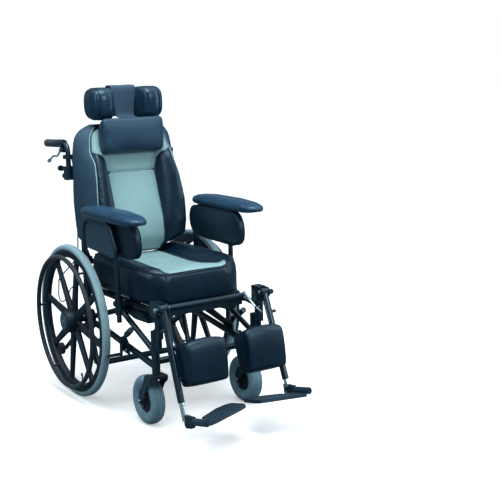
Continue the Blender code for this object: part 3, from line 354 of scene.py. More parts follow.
def loft(rings, cap=True, closed=True):
    """vertices and faces of a surface through rings with the same number of points"""
    rings = np.array(rings, float)
    m, n = rings.shape[:2]
    verts = list(rings.reshape(-1, 3))
    faces = []
    for i in range(m - 1):
        for j in range(n if closed else n - 1):
            k = (j + 1) % n
            faces.append((i * n + j, i * n + k, (i + 1) * n + k, (i + 1) * n + j))
    if cap:
        for i, row in ((0, rings[0]), (m - 1, rings[-1])):
            verts.append(row.mean(0))
            c = len(verts) - 1
            for j in range(n):
                faces.append((i * n + j, i * n + (j + 1) % n, c))
    return verts, faces


def frames_along(path, closed=False):
    """two unit vectors across the path at each of its points, without twist"""
    p = np.array(path, float)
    t = (np.roll(p, -1, 0) - np.roll(p, 1, 0)) if closed else np.gradient(p, axis=0)
    t /= np.maximum(np.linalg.norm(t, axis=1), 1e-12)[:, None]
    a = np.array([0.0, 0.0, 1.0]) if abs(t[0][2]) < 0.9 else np.array([1.0, 0.0, 0.0])
    u = []
    for k in range(len(p)):
        a = a - t[k] * (a @ t[k])
        a /= max(np.linalg.norm(a), 1e-12)
        u.append(a)
    u = np.array(u)
    return t, u, np.cross(t, u)


def tube_geo(path, r, sides=10, closed=False, ends=True):
    p = np.array(path, float)
    r = np.full(len(p), r, float) if np.isscalar(r) else np.array(r, float)
    _, u, v = frames_along(p, closed)
    a = np.linspace(0, 2 * pi, sides, endpoint=False)
    rings = p[:, None] + r[:, None, None] * (np.cos(a)[None, :, None] * u[:, None] + np.sin(a)[None, :, None] * v[:, None])
    if closed:
        verts = list(rings.reshape(-1, 3))
        m = len(p)
        faces = [(i * sides + j, i * sides + (j + 1) % sides, ((i + 1) % m) * sides + (j + 1) % sides, ((i + 1) % m) * sides + j)
                 for i in range(m) for j in range(sides)]
        return verts, faces
    return loft(rings, cap=ends)


def tube_mesh(name, path, r, mat, sides=10, closed=False):
    return new_object(name, *tube_geo(path, r, sides, closed), mat)


class Heap:
    """Collects many small shapes into one mesh."""

    def __init__(self):
        self.verts, self.faces = [], []

    def add(self, verts, faces):
        n = len(self.verts)
        self.verts += [tuple(v) for v in verts]
        self.faces += [tuple(i + n for i in f) for f in faces]

    def rod(self, p, q, r, sides=16, chamfer=0.0008, r2=None):
        p, q = np.array(p, float), np.array(q, float)
        d = (q - p) / np.linalg.norm(q - p)
        r2 = r if r2 is None else r2
        c = min(chamfer, 0.4 * np.linalg.norm(q - p))
        path = [p, p + d * 1e-5, p + d * c, q - d * c, q - d * 1e-5, q]
        rr = [max(r - c, 0.2 * r) * 0.5, max(r - c, 0.2 * r), r, r2, max(r2 - c, 0.2 * r2), max(r2 - c, 0.2 * r2) * 0.5]
        self.add(*tube_geo(path, rr, sides))

    def bolt(self, at, axis, r=0.0055, h=0.0035, washer=True, dome=False):
        """hexagon head with its washer, or a domed cap"""
        at, axis = np.array(at, float), np.array(axis, float)
        axis /= np.linalg.norm(axis)
        if washer:
            self.rod(at, at + axis * 0.0010, r * 1.35, 20, 0.0003)
        base = at + axis * (0.0009 if washer else 0.0)
        if dome:
            path = [base + axis * h * t for t in (0, 0.25, 0.55, 0.8, 0.95, 1.0)]
            self.add(*tube_geo(path, [r, r, r * 0.9, r * 0.66, r * 0.34, r * 0.05], 18))
        else:
            path = [base, base + axis * h * 0.8, base + axis * h, base + axis * h * 1.001]
            self.add(*tube_geo(path, [r, r, r * 0.86, r * 0.2], 6))

    def box(self, lo, hi, bevel=0.0012, matrix=None):
        bm = bmesh.new()
        bmesh.ops.create_cube(bm, size=1.0)
        lo, hi = Vector(lo), Vector(hi)
        for v in bm.verts:
            v.co = Vector((lo[i] if v.co[i] < 0 else hi[i] for i in range(3)))
        bmesh.ops.bevel(bm, geom=bm.edges, offset=bevel, segments=2, affect="EDGES", profile=0.6)
        if matrix is not None:
            bmesh.ops.transform(bm, matrix=matrix, verts=bm.verts)
        bm.verts.ensure_lookup_table()
        self.add([v.co.copy() for v in bm.verts], [[v.index for v in f.verts] for f in bm.faces])
        bm.free()

    def make(self, name, mat, body):
        o = new_object(name, self.verts, self.faces, mat, smooth=False)
        o.data.shade_smooth()
        o.data.set_sharp_from_angle(angle=radians(38))
        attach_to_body(o, body)
        return o


def coords(o):
    co = np.zeros(len(o.data.vertices) * 3)
    o.data.vertices.foreach_get("co", co)
    return co.reshape(-1, 3)


def set_coords(o, co):
    o.data.vertices.foreach_set("co", np.ascontiguousarray(co, float).ravel())
    o.data.update()


def normals(o):
    n = np.zeros(len(o.data.vertices) * 3)
    o.data.vertices.foreach_get("normal", n)
    return n.reshape(-1, 3)


def apply_modifiers(o):
    bpy.context.view_layer.update()
    dg = bpy.context.evaluated_depsgraph_get()
    me = bpy.data.meshes.new_from_object(o.evaluated_get(dg), preserve_all_data_layers=True, depsgraph=dg)
    for m in list(o.modifiers):
        o.modifiers.remove(m)
    old = o.data
    o.data = me
    if not len(me.materials):
        for m in old.materials:
            me.materials.append(m)
    bpy.data.meshes.remove(old)
    me.shade_smooth()
    return o


def relax(o, times=2, factor=0.5, keep=None):
    """moves each point towards the middle of its neighbours"""
    e = np.zeros(len(o.data.edges) * 2, int)
    o.data.edges.foreach_get("vertices", e)
    e = e.reshape(-1, 2)
    co = coords(o)
    count = np.bincount(e.ravel(), minlength=len(co))[:, None]
    for k in range(times):
        for f in (factor, -factor * 1.04):
            tot = np.zeros_like(co)
            np.add.at(tot, e[:, 0], co[e[:, 1]])
            np.add.at(tot, e[:, 1], co[e[:, 0]])
            step = f * (tot / np.maximum(count, 1) - co)
            if keep is not None:
                step *= keep[:, None]
            co = co + step
    set_coords(o, co)


def near(co, lines):
    """distance from each point to the nearest of the lines' points"""
    pts = np.vstack([even(np.array(l, float), max(2, int(np.linalg.norm(np.diff(np.array(l, float), axis=0), axis=1).sum() / 0.002)))
                     for l in lines])
    kd = KDTree(len(pts))
    for i, p in enumerate(pts):
        kd.insert(p, i)
    kd.balance()
    return np.array([kd.find(c)[2] for c in co])


def puff(o, voxel, cap, seams=(), hold=None, pressure=4.0, frames=20, pin_width=0.006, before=2):
    """Remeshes o, blows it up as cloth between its seams, and stops each point after cap metres."""
    m = o.modifiers.new("remesh", "REMESH")
    m.mode = "VOXEL"
    m.voxel_size = voxel
    m.use_smooth_shade = True
    apply_modifiers(o)
    relax(o, before)
    if not FULL:
        return o
    co0 = coords(o)
    pin = np.zeros(len(co0))
    if len(seams):
        pin = np.exp(-(near(co0, seams) / pin_width) ** 2)
        pin[pin > 0.6] = 1.0
        pin[pin < 0.1] = 0.0
    if hold is not None:
        pin = np.maximum(pin, hold(co0).astype(float))
    vg = o.vertex_groups.new(name="pin")
    for level in np.unique(np.round(pin, 2)):
        if level > 0:
            vg.add(np.nonzero(np.round(pin, 2) == level)[0].tolist(), float(level), "REPLACE")
    c = o.modifiers.new("cloth", "CLOTH")
    s = c.settings
    s.quality = 4
    s.mass = 0.25
    s.tension_stiffness = s.compression_stiffness = 12.0
    s.shear_stiffness = 5.0
    s.bending_stiffness = 0.6
    s.use_pressure = True
    s.uniform_pressure_force = pressure
    s.vertex_group_mass = "pin"
    s.effector_weights.gravity = 0.0
    c.collision_settings.use_collision = False
    c.collision_settings.use_self_collision = False
    c.point_cache.frame_start, c.point_cache.frame_end = 1, frames
    for f in range(1, frames + 1):
        scene.frame_set(f)
    dg = bpy.context.evaluated_depsgraph_get()
    ev = o.evaluated_get(dg)
    me = ev.to_mesh()
    co1 = np.zeros(len(co0) * 3)
    me.vertices.foreach_get("co", co1)
    co1 = co1.reshape(-1, 3)
    ev.to_mesh_clear()
    o.modifiers.remove(c)
    o.vertex_groups.clear()
    d = np.nan_to_num(co1 - co0)
    length = np.maximum(np.linalg.norm(d, axis=1), 1e-9)
    limit = np.maximum(cap(co0) if callable(cap) else np.full(len(co0), cap), 1e-6)
    set_coords(o, co0 + d * (limit * np.tanh(length / limit) / length)[:, None])
    scene.frame_set(1)
    relax(o, 2, 0.45)
    return o


def groove(o, lines, depth, width):
    """presses a sewn channel into the surface along the lines"""
    co = coords(o)
    d = near(co, lines)
    set_coords(o, co - normals(o) * (depth * np.exp(-(d / width) ** 2))[:, None])


def subdivided(o, levels=1):
    m = o.modifiers.new("subdivision", "SUBSURF")
    m.levels = m.render_levels = levels
    return o


def surface_of(o):
    dg = bpy.context.evaluated_depsgraph_get()
    bpy.context.view_layer.update()
    return BVHTree.FromObject(o, bpy.context.evaluated_depsgraph_get())


def lay(bvh, points, off=0.0, n=None, closed=False, soften=3):
    """points brought onto a surface, off metres above it, and evened out"""
    p = np.array(points, float)
    if n:
        p = even(np.vstack([p, p[:1]]) if closed else p, n, closed)
    out = []
    for q in p:
        loc, nor, _, _ = bvh.find_nearest(Vector(q))
        out.append(loc + nor * off)
    out = np.array(out)
    for _ in range(soften):
        mid = (np.roll(out, 1, 0) + np.roll(out, -1, 0)) / 2
        step = 0.5 * (mid - out)
        if not closed:
            step[0] = step[-1] = 0
        out = out + step
    return out


def stitches(heap, path, every=0.0065, length=0.0042, r=0.00055, closed=False):
    """short raised stitches along a path"""
    p = np.array(path, float)
    total = np.linalg.norm(np.diff(p, axis=0), axis=1).sum()
    n = max(2, int(total / every))
    fine = even(p, n * 4 + 1)
    for k in range(n):
        a, b = fine[k * 4], fine[min(k * 4 + 3, len(fine) - 1)]
        d = b - a
        l = np.linalg.norm(d)
        if l < 1e-5:
            continue
        b = a + d / l * length
        m = (a + b) / 2
        heap.add(*tube_geo([a, a + (m - a) * 0.3, m, b - (b - m) * 0.3, b], [r * 0.35, r, r * 1.1, r, r * 0.35], 6))


def patch(name, outline, cast, mat, rise=0.0028, sink=0.0015, soft=0.010, spacing=0.0055, valleys=(), depth=0.0045, under=0.004):
    """A sewn-in panel: a closed layer of fabric laid on a surface inside an outline of two coordinates.
    cast(a, b) gives the point on the surface and the direction that the panel rises in."""
    ring = even(np.vstack([outline, outline[:1]]), max(12, int(np.linalg.norm(np.diff(np.vstack([outline, outline[:1]]), axis=0), axis=1).sum() / spacing)), True)
    lo, hi = ring.min(0), ring.max(0)
    xs, ys = np.arange(lo[0] + spacing / 2, hi[0], spacing), np.arange(lo[1] + spacing / 2, hi[1], spacing)
    grid = np.array([(x + (spacing / 2 if j % 2 else 0), y) for j, y in enumerate(ys) for x in xs])
    def inside(p):
        a, b = ring, np.roll(ring, -1, 0)
        hit = np.zeros(len(p), bool)
        for (x0, y0), (x1, y1) in zip(a, b):
            if y0 == y1:
                continue
            c = ((y0 > p[:, 1]) != (y1 > p[:, 1])) & (p[:, 0] < (x1 - x0) * (p[:, 1] - y0) / (y1 - y0) + x0)
            hit ^= c
        return hit
    def to_edge(p, loop, close=True):
        a = np.array(loop, float)
        b = np.roll(a, -1, 0) if close else a[1:]
        a = a if close else a[:-1]
        best = np.full(len(p), 9.0)
        for s0, s1 in zip(a, b):
            d = s1 - s0
            t = np.clip(((p - s0) @ d) / max(d @ d, 1e-12), 0, 1)
            best = np.minimum(best, np.linalg.norm(p - (s0 + t[:, None] * d), axis=1))
        return best
    grid = grid[inside(grid)]
    grid = grid[to_edge(grid, ring) > spacing * 0.55]
    pts = np.vstack([ring, grid])
    got = delaunay_2d_cdt([Vector(p) for p in pts], [], [list(range(len(ring)))], 1, 1e-7)
    flat = np.array([tuple(v) for v in got[0]])
    tris = [list(f) for f in got[2]]
    d = to_edge(flat, ring)
    h = -sink + (rise + sink) * (1 - np.exp(-(d / soft) ** 2))
    for v in valleys:
        h -= depth * np.exp(-(to_edge(flat, np.array(v, float), False) / 0.0045) ** 2)
    top, low = [], []
    for (a, b), k in zip(flat, h):
        p, u = cast(a, b)
        top.append(np.array(p) + np.array(u) * k)
        low.append(np.array(p) + np.array(u) * (min(k, 0.0) - under))
    n = len(flat)
    edges = {}
    for f in tris:
        for i in range(3):
            e = (f[i], f[(i + 1) % 3])
            edges[e] = edges.get(e, 0) + 1
    faces = [tuple(f) for f in tris] + [tuple(n + i for i in reversed(f)) for f in tris]
    for a, b in edges:
        if (b, a) not in edges:
            faces.append((b, a, n + a, n + b))
    o = new_object(name, top + low, faces, mat)
    return o, ring


def attach(o, body, nodes=()):
    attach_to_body(o, body)
    if nodes:
        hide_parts(*nodes)
    return o


def material_where(o, mat, test):
    """gives faces whose middle passes the test a second material"""
    o.data.materials.append(mat)
    k = len(o.data.materials) - 1
    c = np.zeros(len(o.data.polygons) * 3)
    o.data.polygons.foreach_get("center", c)
    c = c.reshape(-1, 3)
    idx = np.zeros(len(c), int)
    o.data.polygons.foreach_get("material_index", idx)
    idx[test(c)] = k
    o.data.polygons.foreach_set("material_index", idx)


# ---------------------------------------------------------------- CAD nodes that stay
def soften_cad(o, limit=radians(40)):
    """smooth shading on a node's own points: corners that share a place share a normal unless the edge is sharp"""
    me = o.data
    co = coords(o)
    _, where = np.unique(co.round(6), axis=0, return_inverse=True)
    where = where.ravel()
    loops = np.zeros(len(me.loops), int)
    me.loops.foreach_get("vertex_index", loops)
    start = np.zeros(len(me.polygons), int)
    total = np.zeros(len(me.polygons), int)
    me.polygons.foreach_get("loop_start", start)
    me.polygons.foreach_get("loop_total", total)
    fn = np.zeros((len(me.polygons), 3))
    corner_face = np.zeros(len(loops), int)
    for i, (s, t) in enumerate(zip(start, total)):
        a, b, c = co[loops[s]], co[loops[s + 1]], co[loops[s + 2]]
        fn[i] = np.cross(b - a, c - a)
        corner_face[s:s + t] = i
    area = np.linalg.norm(fn, axis=1)
    unit = fn / np.maximum(area, 1e-15)[:, None]
    groups = {}
    for l, v in enumerate(loops):
        groups.setdefault(where[v], []).append(l)
    out = np.zeros((len(loops), 3))
    lim = cos(limit)
    for ls in groups.values():
        f = corner_face[ls]
        u, w = unit[f], np.sqrt(area[f])
        near_by = (u @ u.T) > lim
        s = near_by @ (u * w[:, None])
        out[ls] = s / np.maximum(np.linalg.norm(s, axis=1), 1e-15)[:, None]
    me.polygons.foreach_set("use_smooth", [True] * len(me.polygons))
    me.normals_split_custom_set([tuple(n) for n in out])


for name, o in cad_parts.items():
    slot = o.material_slots[0].name.split(".")[0] if o.material_slots else "black_paint"
    mat = BY_SLOT.get(slot, PAINT)
    if name.startswith("footplate"):
        mat = PLATE_TOP
    if name.startswith("caster_tyre"):
        mat = CASTER_TYRE
    for s in o.material_slots:
        s.material = mat
    soften_cad(o)
    if name.startswith("foot_slide"):
        # the clamp and the hinge rail are black, only the sliding tube is plated
        s = -1.0 if name.endswith("right") else 1.0
        a = radians(19.3) if s < 0 else radians(22.7)
        o.data.materials.append(PLASTIC)
        for f in o.data.polygons:
            c = f.center
            y, z = c.y - SHIFT + 0.628, c.z - 0.462
            off = abs(y * cos(a) - z * sin(a))
            along = -y * sin(a) - z * cos(a)
            if off > 0.0096 or along > 0.3935 or abs(abs(c.x) - 0.2165) > 0.0092:
                f.material_index = 1


# ---------------------------------------------------------------- wheels
def lathe(profile, n, centre, s=1.0, closed=True):
    """(x offset, radius) pairs turned about the X axis through centre"""
    a = np.linspace(0, 2 * pi, n, endpoint=False)
    rings = np.array([[(centre[0] + s * x, centre[1] - r * sin(t), centre[2] + r * cos(t)) for t in a] for x, r in profile])
    m = len(profile)
    verts = list(rings.reshape(-1, 3))
    faces = []
    for i in range(m if closed else m - 1):
        k = (i + 1) % m
        for j in range(n):
            q = (j + 1) % n
            faces.append((i * n + j, i * n + q, k * n + q, k * n + j))
    if not closed:
        for i in (0, m - 1):
            verts.append(rings[i].mean(0))
            faces += [(i * n + j, i * n + (j + 1) % n, len(verts) - 1) for j in range(n)]
    return verts, faces


def rear_wheels():
    for side, s in SIDES:
        body = f"wheel_{side}"
        c = np.array((s * 0.2833, SHIFT, AXLE_Z))
        R = AXLE_Z
        half = [(0.0, R - 0.0002), (0.0022, R - 0.0002), (0.0030, R - 0.0016), (0.0042, R - 0.0016), (0.0050, R - 0.0004),
                (0.0078, R - 0.0010), (0.0086, R - 0.0025), (0.0096, R - 0.0026), (0.0104, R - 0.0022), (0.0130, R - 0.0048),
                (0.0148, R - 0.0078), (0.0158, R - 0.0112), (0.0162, R - 0.0148), (0.0158, R - 0.0180), (0.0146, R - 0.0204),
                (0.0136, R - 0.0216), (0.0130, R - 0.0232), (0.0122, R - 0.0260), (0.0110, R - 0.0310), (0.0095, R - 0.0345)]
        profile = half + [(-x, r) for x, r in reversed(half[1:])]
        tyre = new_object(f"tyre_{side}", *lathe(profile, 144, c), TYRE)
        attach(tyre, body, [f"rear_tyre_{side}"])

        h = Heap()
        rim = [(-0.0112, 0.2718), (-0.0128, 0.2790), (-0.0134, 0.2840), (-0.0142, 0.2862), (-0.0154, 0.2866), (-0.0161, 0.2852), (-0.0158, 0.2810), (-0.0150, 0.2760), (-0.0146, 0.2722), (-0.0138, 0.2672), (-0.0132, 0.2618), (-0.0112, 0.2582), (-0.0068, 0.2558),
               (0.0068, 0.2558), (0.0112, 0.2582), (0.0132, 0.2618), (0.0138, 0.2672), (0.0146, 0.2722), (0.0150, 0.2760), (0.0158, 0.2810), (0.0161, 0.2852), (0.0154, 0.2866), (0.0142, 0.2862), (0.0134, 0.2840), (0.0128, 0.2790), (0.0112, 0.2718),
               (0.0060, 0.2700), (-0.0060, 0.2700)]
        h.add(*lathe(rim, 128, c))
        hub = [(-0.0212, 0.0002), (-0.0212, 0.0240), (-0.0200, 0.0290), (-0.0150, 0.0330), (-0.0130, 0.0395), (-0.0110, 0.0425), (0.0060, 0.0462),
               (0.0200, 0.0470), (0.0230, 0.0462), (0.0380, 0.0446), (0.0425, 0.0425), (0.0455, 0.0380), (0.0462, 0.0330), (0.0462, 0.0002)]
        h.add(*lathe(hub, 64, c, s, closed=False))
        for k in range(8):
            a = radians(12 + 45 * k)
            rings = []
            for r, w, t in ((0.036, 0.0345, 0.0220), (0.044, 0.0300, 0.0208), (0.056, 0.0268, 0.0200), (0.080, 0.0252, 0.0192), (0.120, 0.0236, 0.0182), (0.160, 0.0220, 0.0172),
                            (0.200, 0.0206, 0.0162), (0.228, 0.0198, 0.0156), (0.243, 0.0205, 0.0155), (0.252, 0.0240, 0.0158), (0.2585, 0.0300, 0.0162)):
                ring = []
                for q in range(20):
                    b = 2 * pi * q / 20
                    cx = np.sign(cos(b)) * abs(cos(b)) ** 0.55 * t / 2
                    cy = np.sign(sin(b)) * abs(sin(b)) ** 0.60 * w * 0.65
                    ring.append((c[0] + cx, c[1] - r * sin(a) + cy * cos(a), c[2] + r * cos(a) + cy * sin(a)))
                rings.append(ring)
            h.add(*loft(rings))
            # raised rib along the middle of each spoke
            rib = []
            for r, w in ((0.062, 0.0035), (0.070, 0.0060), (0.150, 0.0050), (0.226, 0.0042), (0.234, 0.0025)):
                t = np.interp(r, [0.056, 0.243], [0.0100, 0.00775])
                rib.append([(c[0] + s * (t + dz), c[1] - r * sin(a) + dy * w * cos(a), c[2] + r * cos(a) + dy * w * sin(a))
                            for dy, dz in ((-1, -0.0015), (-0.6, 0.0010), (0.6, 0.0010), (1, -0.0015))])
            h.add(*loft(rib))
        a = radians(168)
        e = np.array((0.0, -sin(a), cos(a)))
        h.rod(c + e * 0.258, c + e * 0.247, 0.0042, 12)
        h.rod(c + e * 0.249, c + e * 0.222, 0.0030, 12)
        h.rod(c + e * 0.226, c + e * 0.214, 0.0038, 12, 0.0012)
        wheel = h.make(f"wheel_{side}_moulded", PLASTIC, body)
        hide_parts(f"rear_wheel_{side}")

        cap = [(0.0455, 0.0002), (0.0455, 0.0300), (0.0468, 0.0312), (0.0482, 0.0300), (0.0488, 0.0262), (0.0480, 0.0240), (0.0484, 0.0200), (0.0492, 0.0140), (0.0496, 0.0002)]
        o = new_object(f"hub_cap_{side}", *lathe(cap, 64, c, s, closed=False), HUB_GREY)
        attach(o, body)

        h = Heap()
        a = np.linspace(0, 2 * pi, 160, endpoint=False)
        ring = np.stack([np.full(160, s * 0.3270), SHIFT - 0.2620 * np.sin(a), AXLE_Z + 0.2620 * np.cos(a)], 1)
        h.add(*tube_geo(ring, 0.0094, 14, closed=True))
        for k in range(6):
            b = radians(34.5 + 60 * k)
            y, z = SHIFT - sin(b) * 0.2655, AXLE_Z + cos(b) * 0.2655
            h.add(*tube_geo([(s * 0.2955, y, z), (s * 0.2985, y, z), (s * 0.3020, y, z), (s * 0.3130, y, z), (s * 0.3180, y, z), (s * 0.3240, y, z)],
                            [0.0078, 0.0074, 0.0050, 0.0046, 0.0056, 0.0080], 14))
        rim = h.make(f"handrim_{side}_ring", RUBBER, body)
        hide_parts(f"handrim_{side}")

        h = Heap()
        h.bolt(c + np.array((s * 0.0494, 0, 0)), (s, 0, 0), 0.0105, 0.0030, False, True)
        h.make(f"axle_button_{side}", STEEL, body)


def casters():
    for side, s in SIDES:
        body = f"caster_{side}"
        c = np.array((s * 0.2135, SHIFT - 0.4870, 0.0925))
        R = 0.0925
        half = [(0.0, R - 0.0001), (0.0050, R - 0.0002), (0.0056, R - 0.0014), (0.0066, R - 0.0014), (0.0072, R - 0.0004), (0.0115, R - 0.0012), (0.0122, R - 0.0024), (0.0132, R - 0.0024),
                (0.0140, R - 0.0018), (0.0185, R - 0.0038), (0.0225, R - 0.0072), (0.0255, R - 0.0118), (0.0270, R - 0.0175), (0.0268, R - 0.0245), (0.0250, R - 0.0310),
                (0.0222, R - 0.0365), (0.0200, R - 0.0400), (0.0196, R - 0.0425), (0.0172, R - 0.0452), (0.0150, R - 0.0465)]
        profile = half + [(-x, r) for x, r in reversed(half[1:])]
        tyre = new_object(f"caster_{side}_tyre", *lathe(profile, 96, c), CASTER_TYRE)
        attach(tyre, body, [f"caster_tyre_{side}"])
        h = Heap()
        hub = [(-0.0268, 0.0002), (-0.0268, 0.0118), (-0.0250, 0.0135), (-0.0165, 0.0165), (-0.0150, 0.0185), (-0.0142, 0.0250), (-0.0150, 0.0335), (-0.0182, 0.0372),
               (-0.0205, 0.0385), (-0.0208, 0.0405), (-0.0180, 0.0440), (-0.0145, 0.0455), (0.0145, 0.0455), (0.0180, 0.0440), (0.0208, 0.0405), (0.0205, 0.0385),
               (0.0182, 0.0372), (0.0150, 0.0335), (0.0142, 0.0250), (0.0150, 0.0185), (0.0165, 0.0165), (0.0250, 0.0135), (0.0268, 0.0118), (0.0268, 0.0002)]
        h.add(*lathe(hub, 64, c, 1.0, closed=False))
        for t in (-1, 1):
            for k in range(6):
                a = radians(60 * k + 15)
                p = c + np.array((t * 0.0145, -sin(a) * 0.0168, cos(a) * 0.0168))
                q = c + np.array((t * 0.0158, -sin(a) * 0.0360, cos(a) * 0.0360))
                h.add(*tube_geo([p, p + (q - p) * 0.3, p + (q - p) * 0.7, q], [0.0022, 0.0028, 0.0026, 0.0034], 8))
        o = h.make(f"caster_{side}_hub", PLASTIC, body)
        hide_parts(f"caster_hub_{side}")
        h = Heap()
        for t in (-1, 1):
            h.bolt(c + np.array((t * 0.0402, 0, 0)), (t, 0, 0), 0.0072, 0.0045)
        h.make(f"caster_{side}_axle_nuts", STEEL, f"fork_{side}")
        h = Heap()
        st = np.array((s * 0.2135, SHIFT - 0.5550, 0.0))
        h.add(*lathe_z([(0.0002, 0.2002), (0.0195, 0.2002), (0.0200, 0.2008), (0.0200, 0.2022), (0.0195, 0.2027), (0.0002, 0.2027)], 36, st))
        h.make(f"caster_{side}_seal", RUBBER, f"fork_{side}")
        body = f"anti_tip_{side}"
        c = np.array((s * 0.2345, SHIFT + 0.266, 0.1235))
        p = [(-0.0088, 0.0002), (-0.0088, 0.0060), (-0.0078, 0.0072), (-0.0074, 0.0170), (-0.0084, 0.0185), (-0.0090, 0.0205), (-0.0084, 0.0238), (-0.0062, 0.0256), (0.0, 0.0260),
             (0.0062, 0.0256), (0.0084, 0.0238), (0.0090, 0.0205), (0.0084, 0.0185), (0.0074, 0.0170), (0.0078, 0.0072), (0.0088, 0.0060), (0.0088, 0.0002)]
        o = new_object(f"anti_tip_{side}_roller", *lathe(p, 48, c, 1.0, closed=False), RUBBER)
        attach(o, body, [f"anti_tip_wheel_{side}"])


def lathe_z(profile, n, centre):
    """(radius, z) pairs turned about a vertical axis"""
    a = np.linspace(0, 2 * pi, n, endpoint=False)
    rings = [[(centre[0] + r * cos(t), centre[1] + r * sin(t), centre[2] + z) for t in a] for r, z in profile]
    return loft(rings)


rear_wheels()
casters()


# ---------------------------------------------------------------- seat cushion
def seat():
    #        y      half  crest  panel  panel-half
    rows = [(-0.516, 0.136, 0.544, 0.544, 0.112),
            (-0.506, 0.163, 0.558, 0.555, 0.132),
            (-0.480, 0.191, 0.572, 0.556, 0.138),
            (-0.430, 0.216, 0.581, 0.549, 0.128),
            (-0.360, 0.219, 0.585, 0.542, 0.113),
            (-0.300, 0.219, 0.586, 0.540, 0.109),
            (-0.150, 0.217, 0.586, 0.542, 0.107),
            (-0.040, 0.211, 0.584, 0.546, 0.107),
            (-0.008, 0.190, 0.576, 0.548, 0.107)]
    rings = []
    for y, w, tb, tp, ph in smooth_rows(rows, 70, 1.4):
        crest = w - 0.046
        half = [(ph * t, tp + 0.003 * (1 - t * t)) for t in np.linspace(0, 1, 10)[:-1]]
        c = np.array((crest - ph, tb - tp))
        nrm = np.array((-c[1], c[0])) / max(np.linalg.norm(c), 1e-6)
        half += [tuple(np.array((ph, tp)) + c * t + nrm * 0.008 * sin(pi * t)) for t in np.linspace(0, 1, 9)[:-1]]
        half += [tuple(p) for p in spline([(crest, tb), (w - 0.020, tb - 0.006), (w - 0.004, tb - 0.024), (w, tb - 0.050),
                                           (w, 0.478), (w - 0.003, 0.458), (w - 0.014, 0.4475)], 26)]
        half += [((w - 0.014) * t, 0.4475) for t in np.linspace(1, 0, 8)[1:]]
        half = np.array(half)
        loop = [(x, y, z) for x, z in half] + [(-x, y, z) for x, z in half[-2:0:-1]]
        rings.append(loop)
    o = new_object("seat_cushion_padded", *loft(shifted(rings)), LEATHER)
    crest_line = [(-0.012, 0.186, 0.572), (-0.040, 0.2035, 0.577), (-0.150, 0.2105, 0.579), (-0.300, 0.2125, 0.579), (-0.400, 0.2110, 0.577), (-0.450, 0.2030, 0.572),
                  (-0.482, 0.181, 0.5655), (-0.500, 0.1520, 0.5580), (-0.5075, 0.1300, 0.5545)]
    right = [(x, y, z) for y, x, z in crest_line]
    top = spline(right + [(-x, y, z) for x, y, z in reversed(right)], 200)
    bottom = spline([(0.176, -0.012, 0.4480), (0.206, -0.040, 0.4480), (0.214, -0.20, 0.4480), (0.213, -0.420, 0.4480), (0.186, -0.484, 0.4480), (0.130, -0.514, 0.4480),
                     (-0.130, -0.514, 0.4480), (-0.186, -0.484, 0.4480), (-0.213, -0.420, 0.4480), (-0.214, -0.20, 0.4480), (-0.206, -0.040, 0.4480), (-0.176, -0.012, 0.4480)], 160)
    corner = [[(s * 0.1365, -0.5070, z) for z in np.linspace(0.552, 0.450, 12)] for s in (1, -1)]
    corner2 = [[(s * 0.2185, -0.300 - 0.12, z) for z in np.linspace(0.565, 0.450, 12)] for s in (1, -1)]
    panel = [[(s * w, y, z) for y, w, z in ((-0.012, 0.107, 0.548), (-0.15, 0.107, 0.542), (-0.30, 0.109, 0.540), (-0.36, 0.113, 0.542), (-0.43, 0.128, 0.549), (-0.478, 0.141, 0.557),
                                            (-0.500, 0.138, 0.557))] for s in (1, -1)]
    seams = [shifted(l) for l in [top, bottom] + corner + panel]

    def cap(co):
        y = co[:, 1] - SHIFT
        up = co[:, 2]
        inner = (abs(co[:, 0]) < 0.105) & (up > 0.5)
        lim = np.where(inner, 0.006, 0.013)
        lim = np.where(y < -0.49, 0.010, lim)
        return np.where(up < 0.452, 0.0008, lim)
    puff(o, 0.0060, cap, seams, hold=lambda co: (co[:, 2] < 0.4505) | (co[:, 1] > SHIFT - 0.012), pressure=3.5)
    groove(o, [shifted(top)], 0.0022, 0.0045)
    groove(o, [shifted(l) for l in corner], 0.0018, 0.0040)
    subdivided(o)
    attach(o, "seat", ["seat_cushion"])
    bvh = surface_of(o)
    outline = [(0.106, -0.014), (0.106, -0.150), (0.107, -0.300), (0.111, -0.350), (0.118, -0.390), (0.130, -0.430), (0.1415, -0.460), (0.1440, -0.478), (0.1395, -0.495), (0.1320, -0.503)]
    outline = outline + [(-x, y) for x, y in reversed(outline)]

    def cast(a, b):
        hit = bvh.ray_cast(Vector((a, b + SHIFT, 0.70)), Vector((0, 0, -1)))
        n = (hit[1] + Vector((0, 0, 1))).normalized()
        return hit[0], n
    p, ring = patch("seat_panel_fabric", np.array(outline), cast, SILVER, 0.0040, 0.0015, 0.010)
    attach(p, "seat")
    edge = np.array([np.array(cast(a, b)[0]) for a, b in ring])
    front = np.array([e for e in edge if e[1] < SHIFT - 0.499])
    h = Heap()
    path = lay(bvh, shifted(top), 0.0010, 260)
    h.add(*tube_geo(path, 0.0026, 10))
    path = lay(bvh, edge, 0.0006, 220, True)
    h.add(*tube_geo(path, 0.0017, 8, closed=True))
    for l in corner:
        h.add(*tube_geo(lay(bvh, shifted(l), 0.0005, 20), 0.0014, 8))
    h.make("seat_piping", PIPING_DARK, "seat")
    h = Heap()
    inner = np.array([np.array(cast(a * 0.955, b)[0]) + np.array((0, 0, 0.0034)) for a, b in ring if -0.49 < b < -0.02])
    for s in (1, -1):
        line = np.array([q for q in inner if q[0] * s > 0.02])
        stitches(h, line[np.argsort(line[:, 1])])
    h.make("seat_panel_stitching", THREAD, "seat")
    # upholstered board under the cushion
    h = Heap()
    h.box((-0.187, SHIFT - 0.505, 0.4385), (0.187, SHIFT - 0.008, 0.4490), 0.0015)
    h.make("seat_board", LEATHER, "seat")


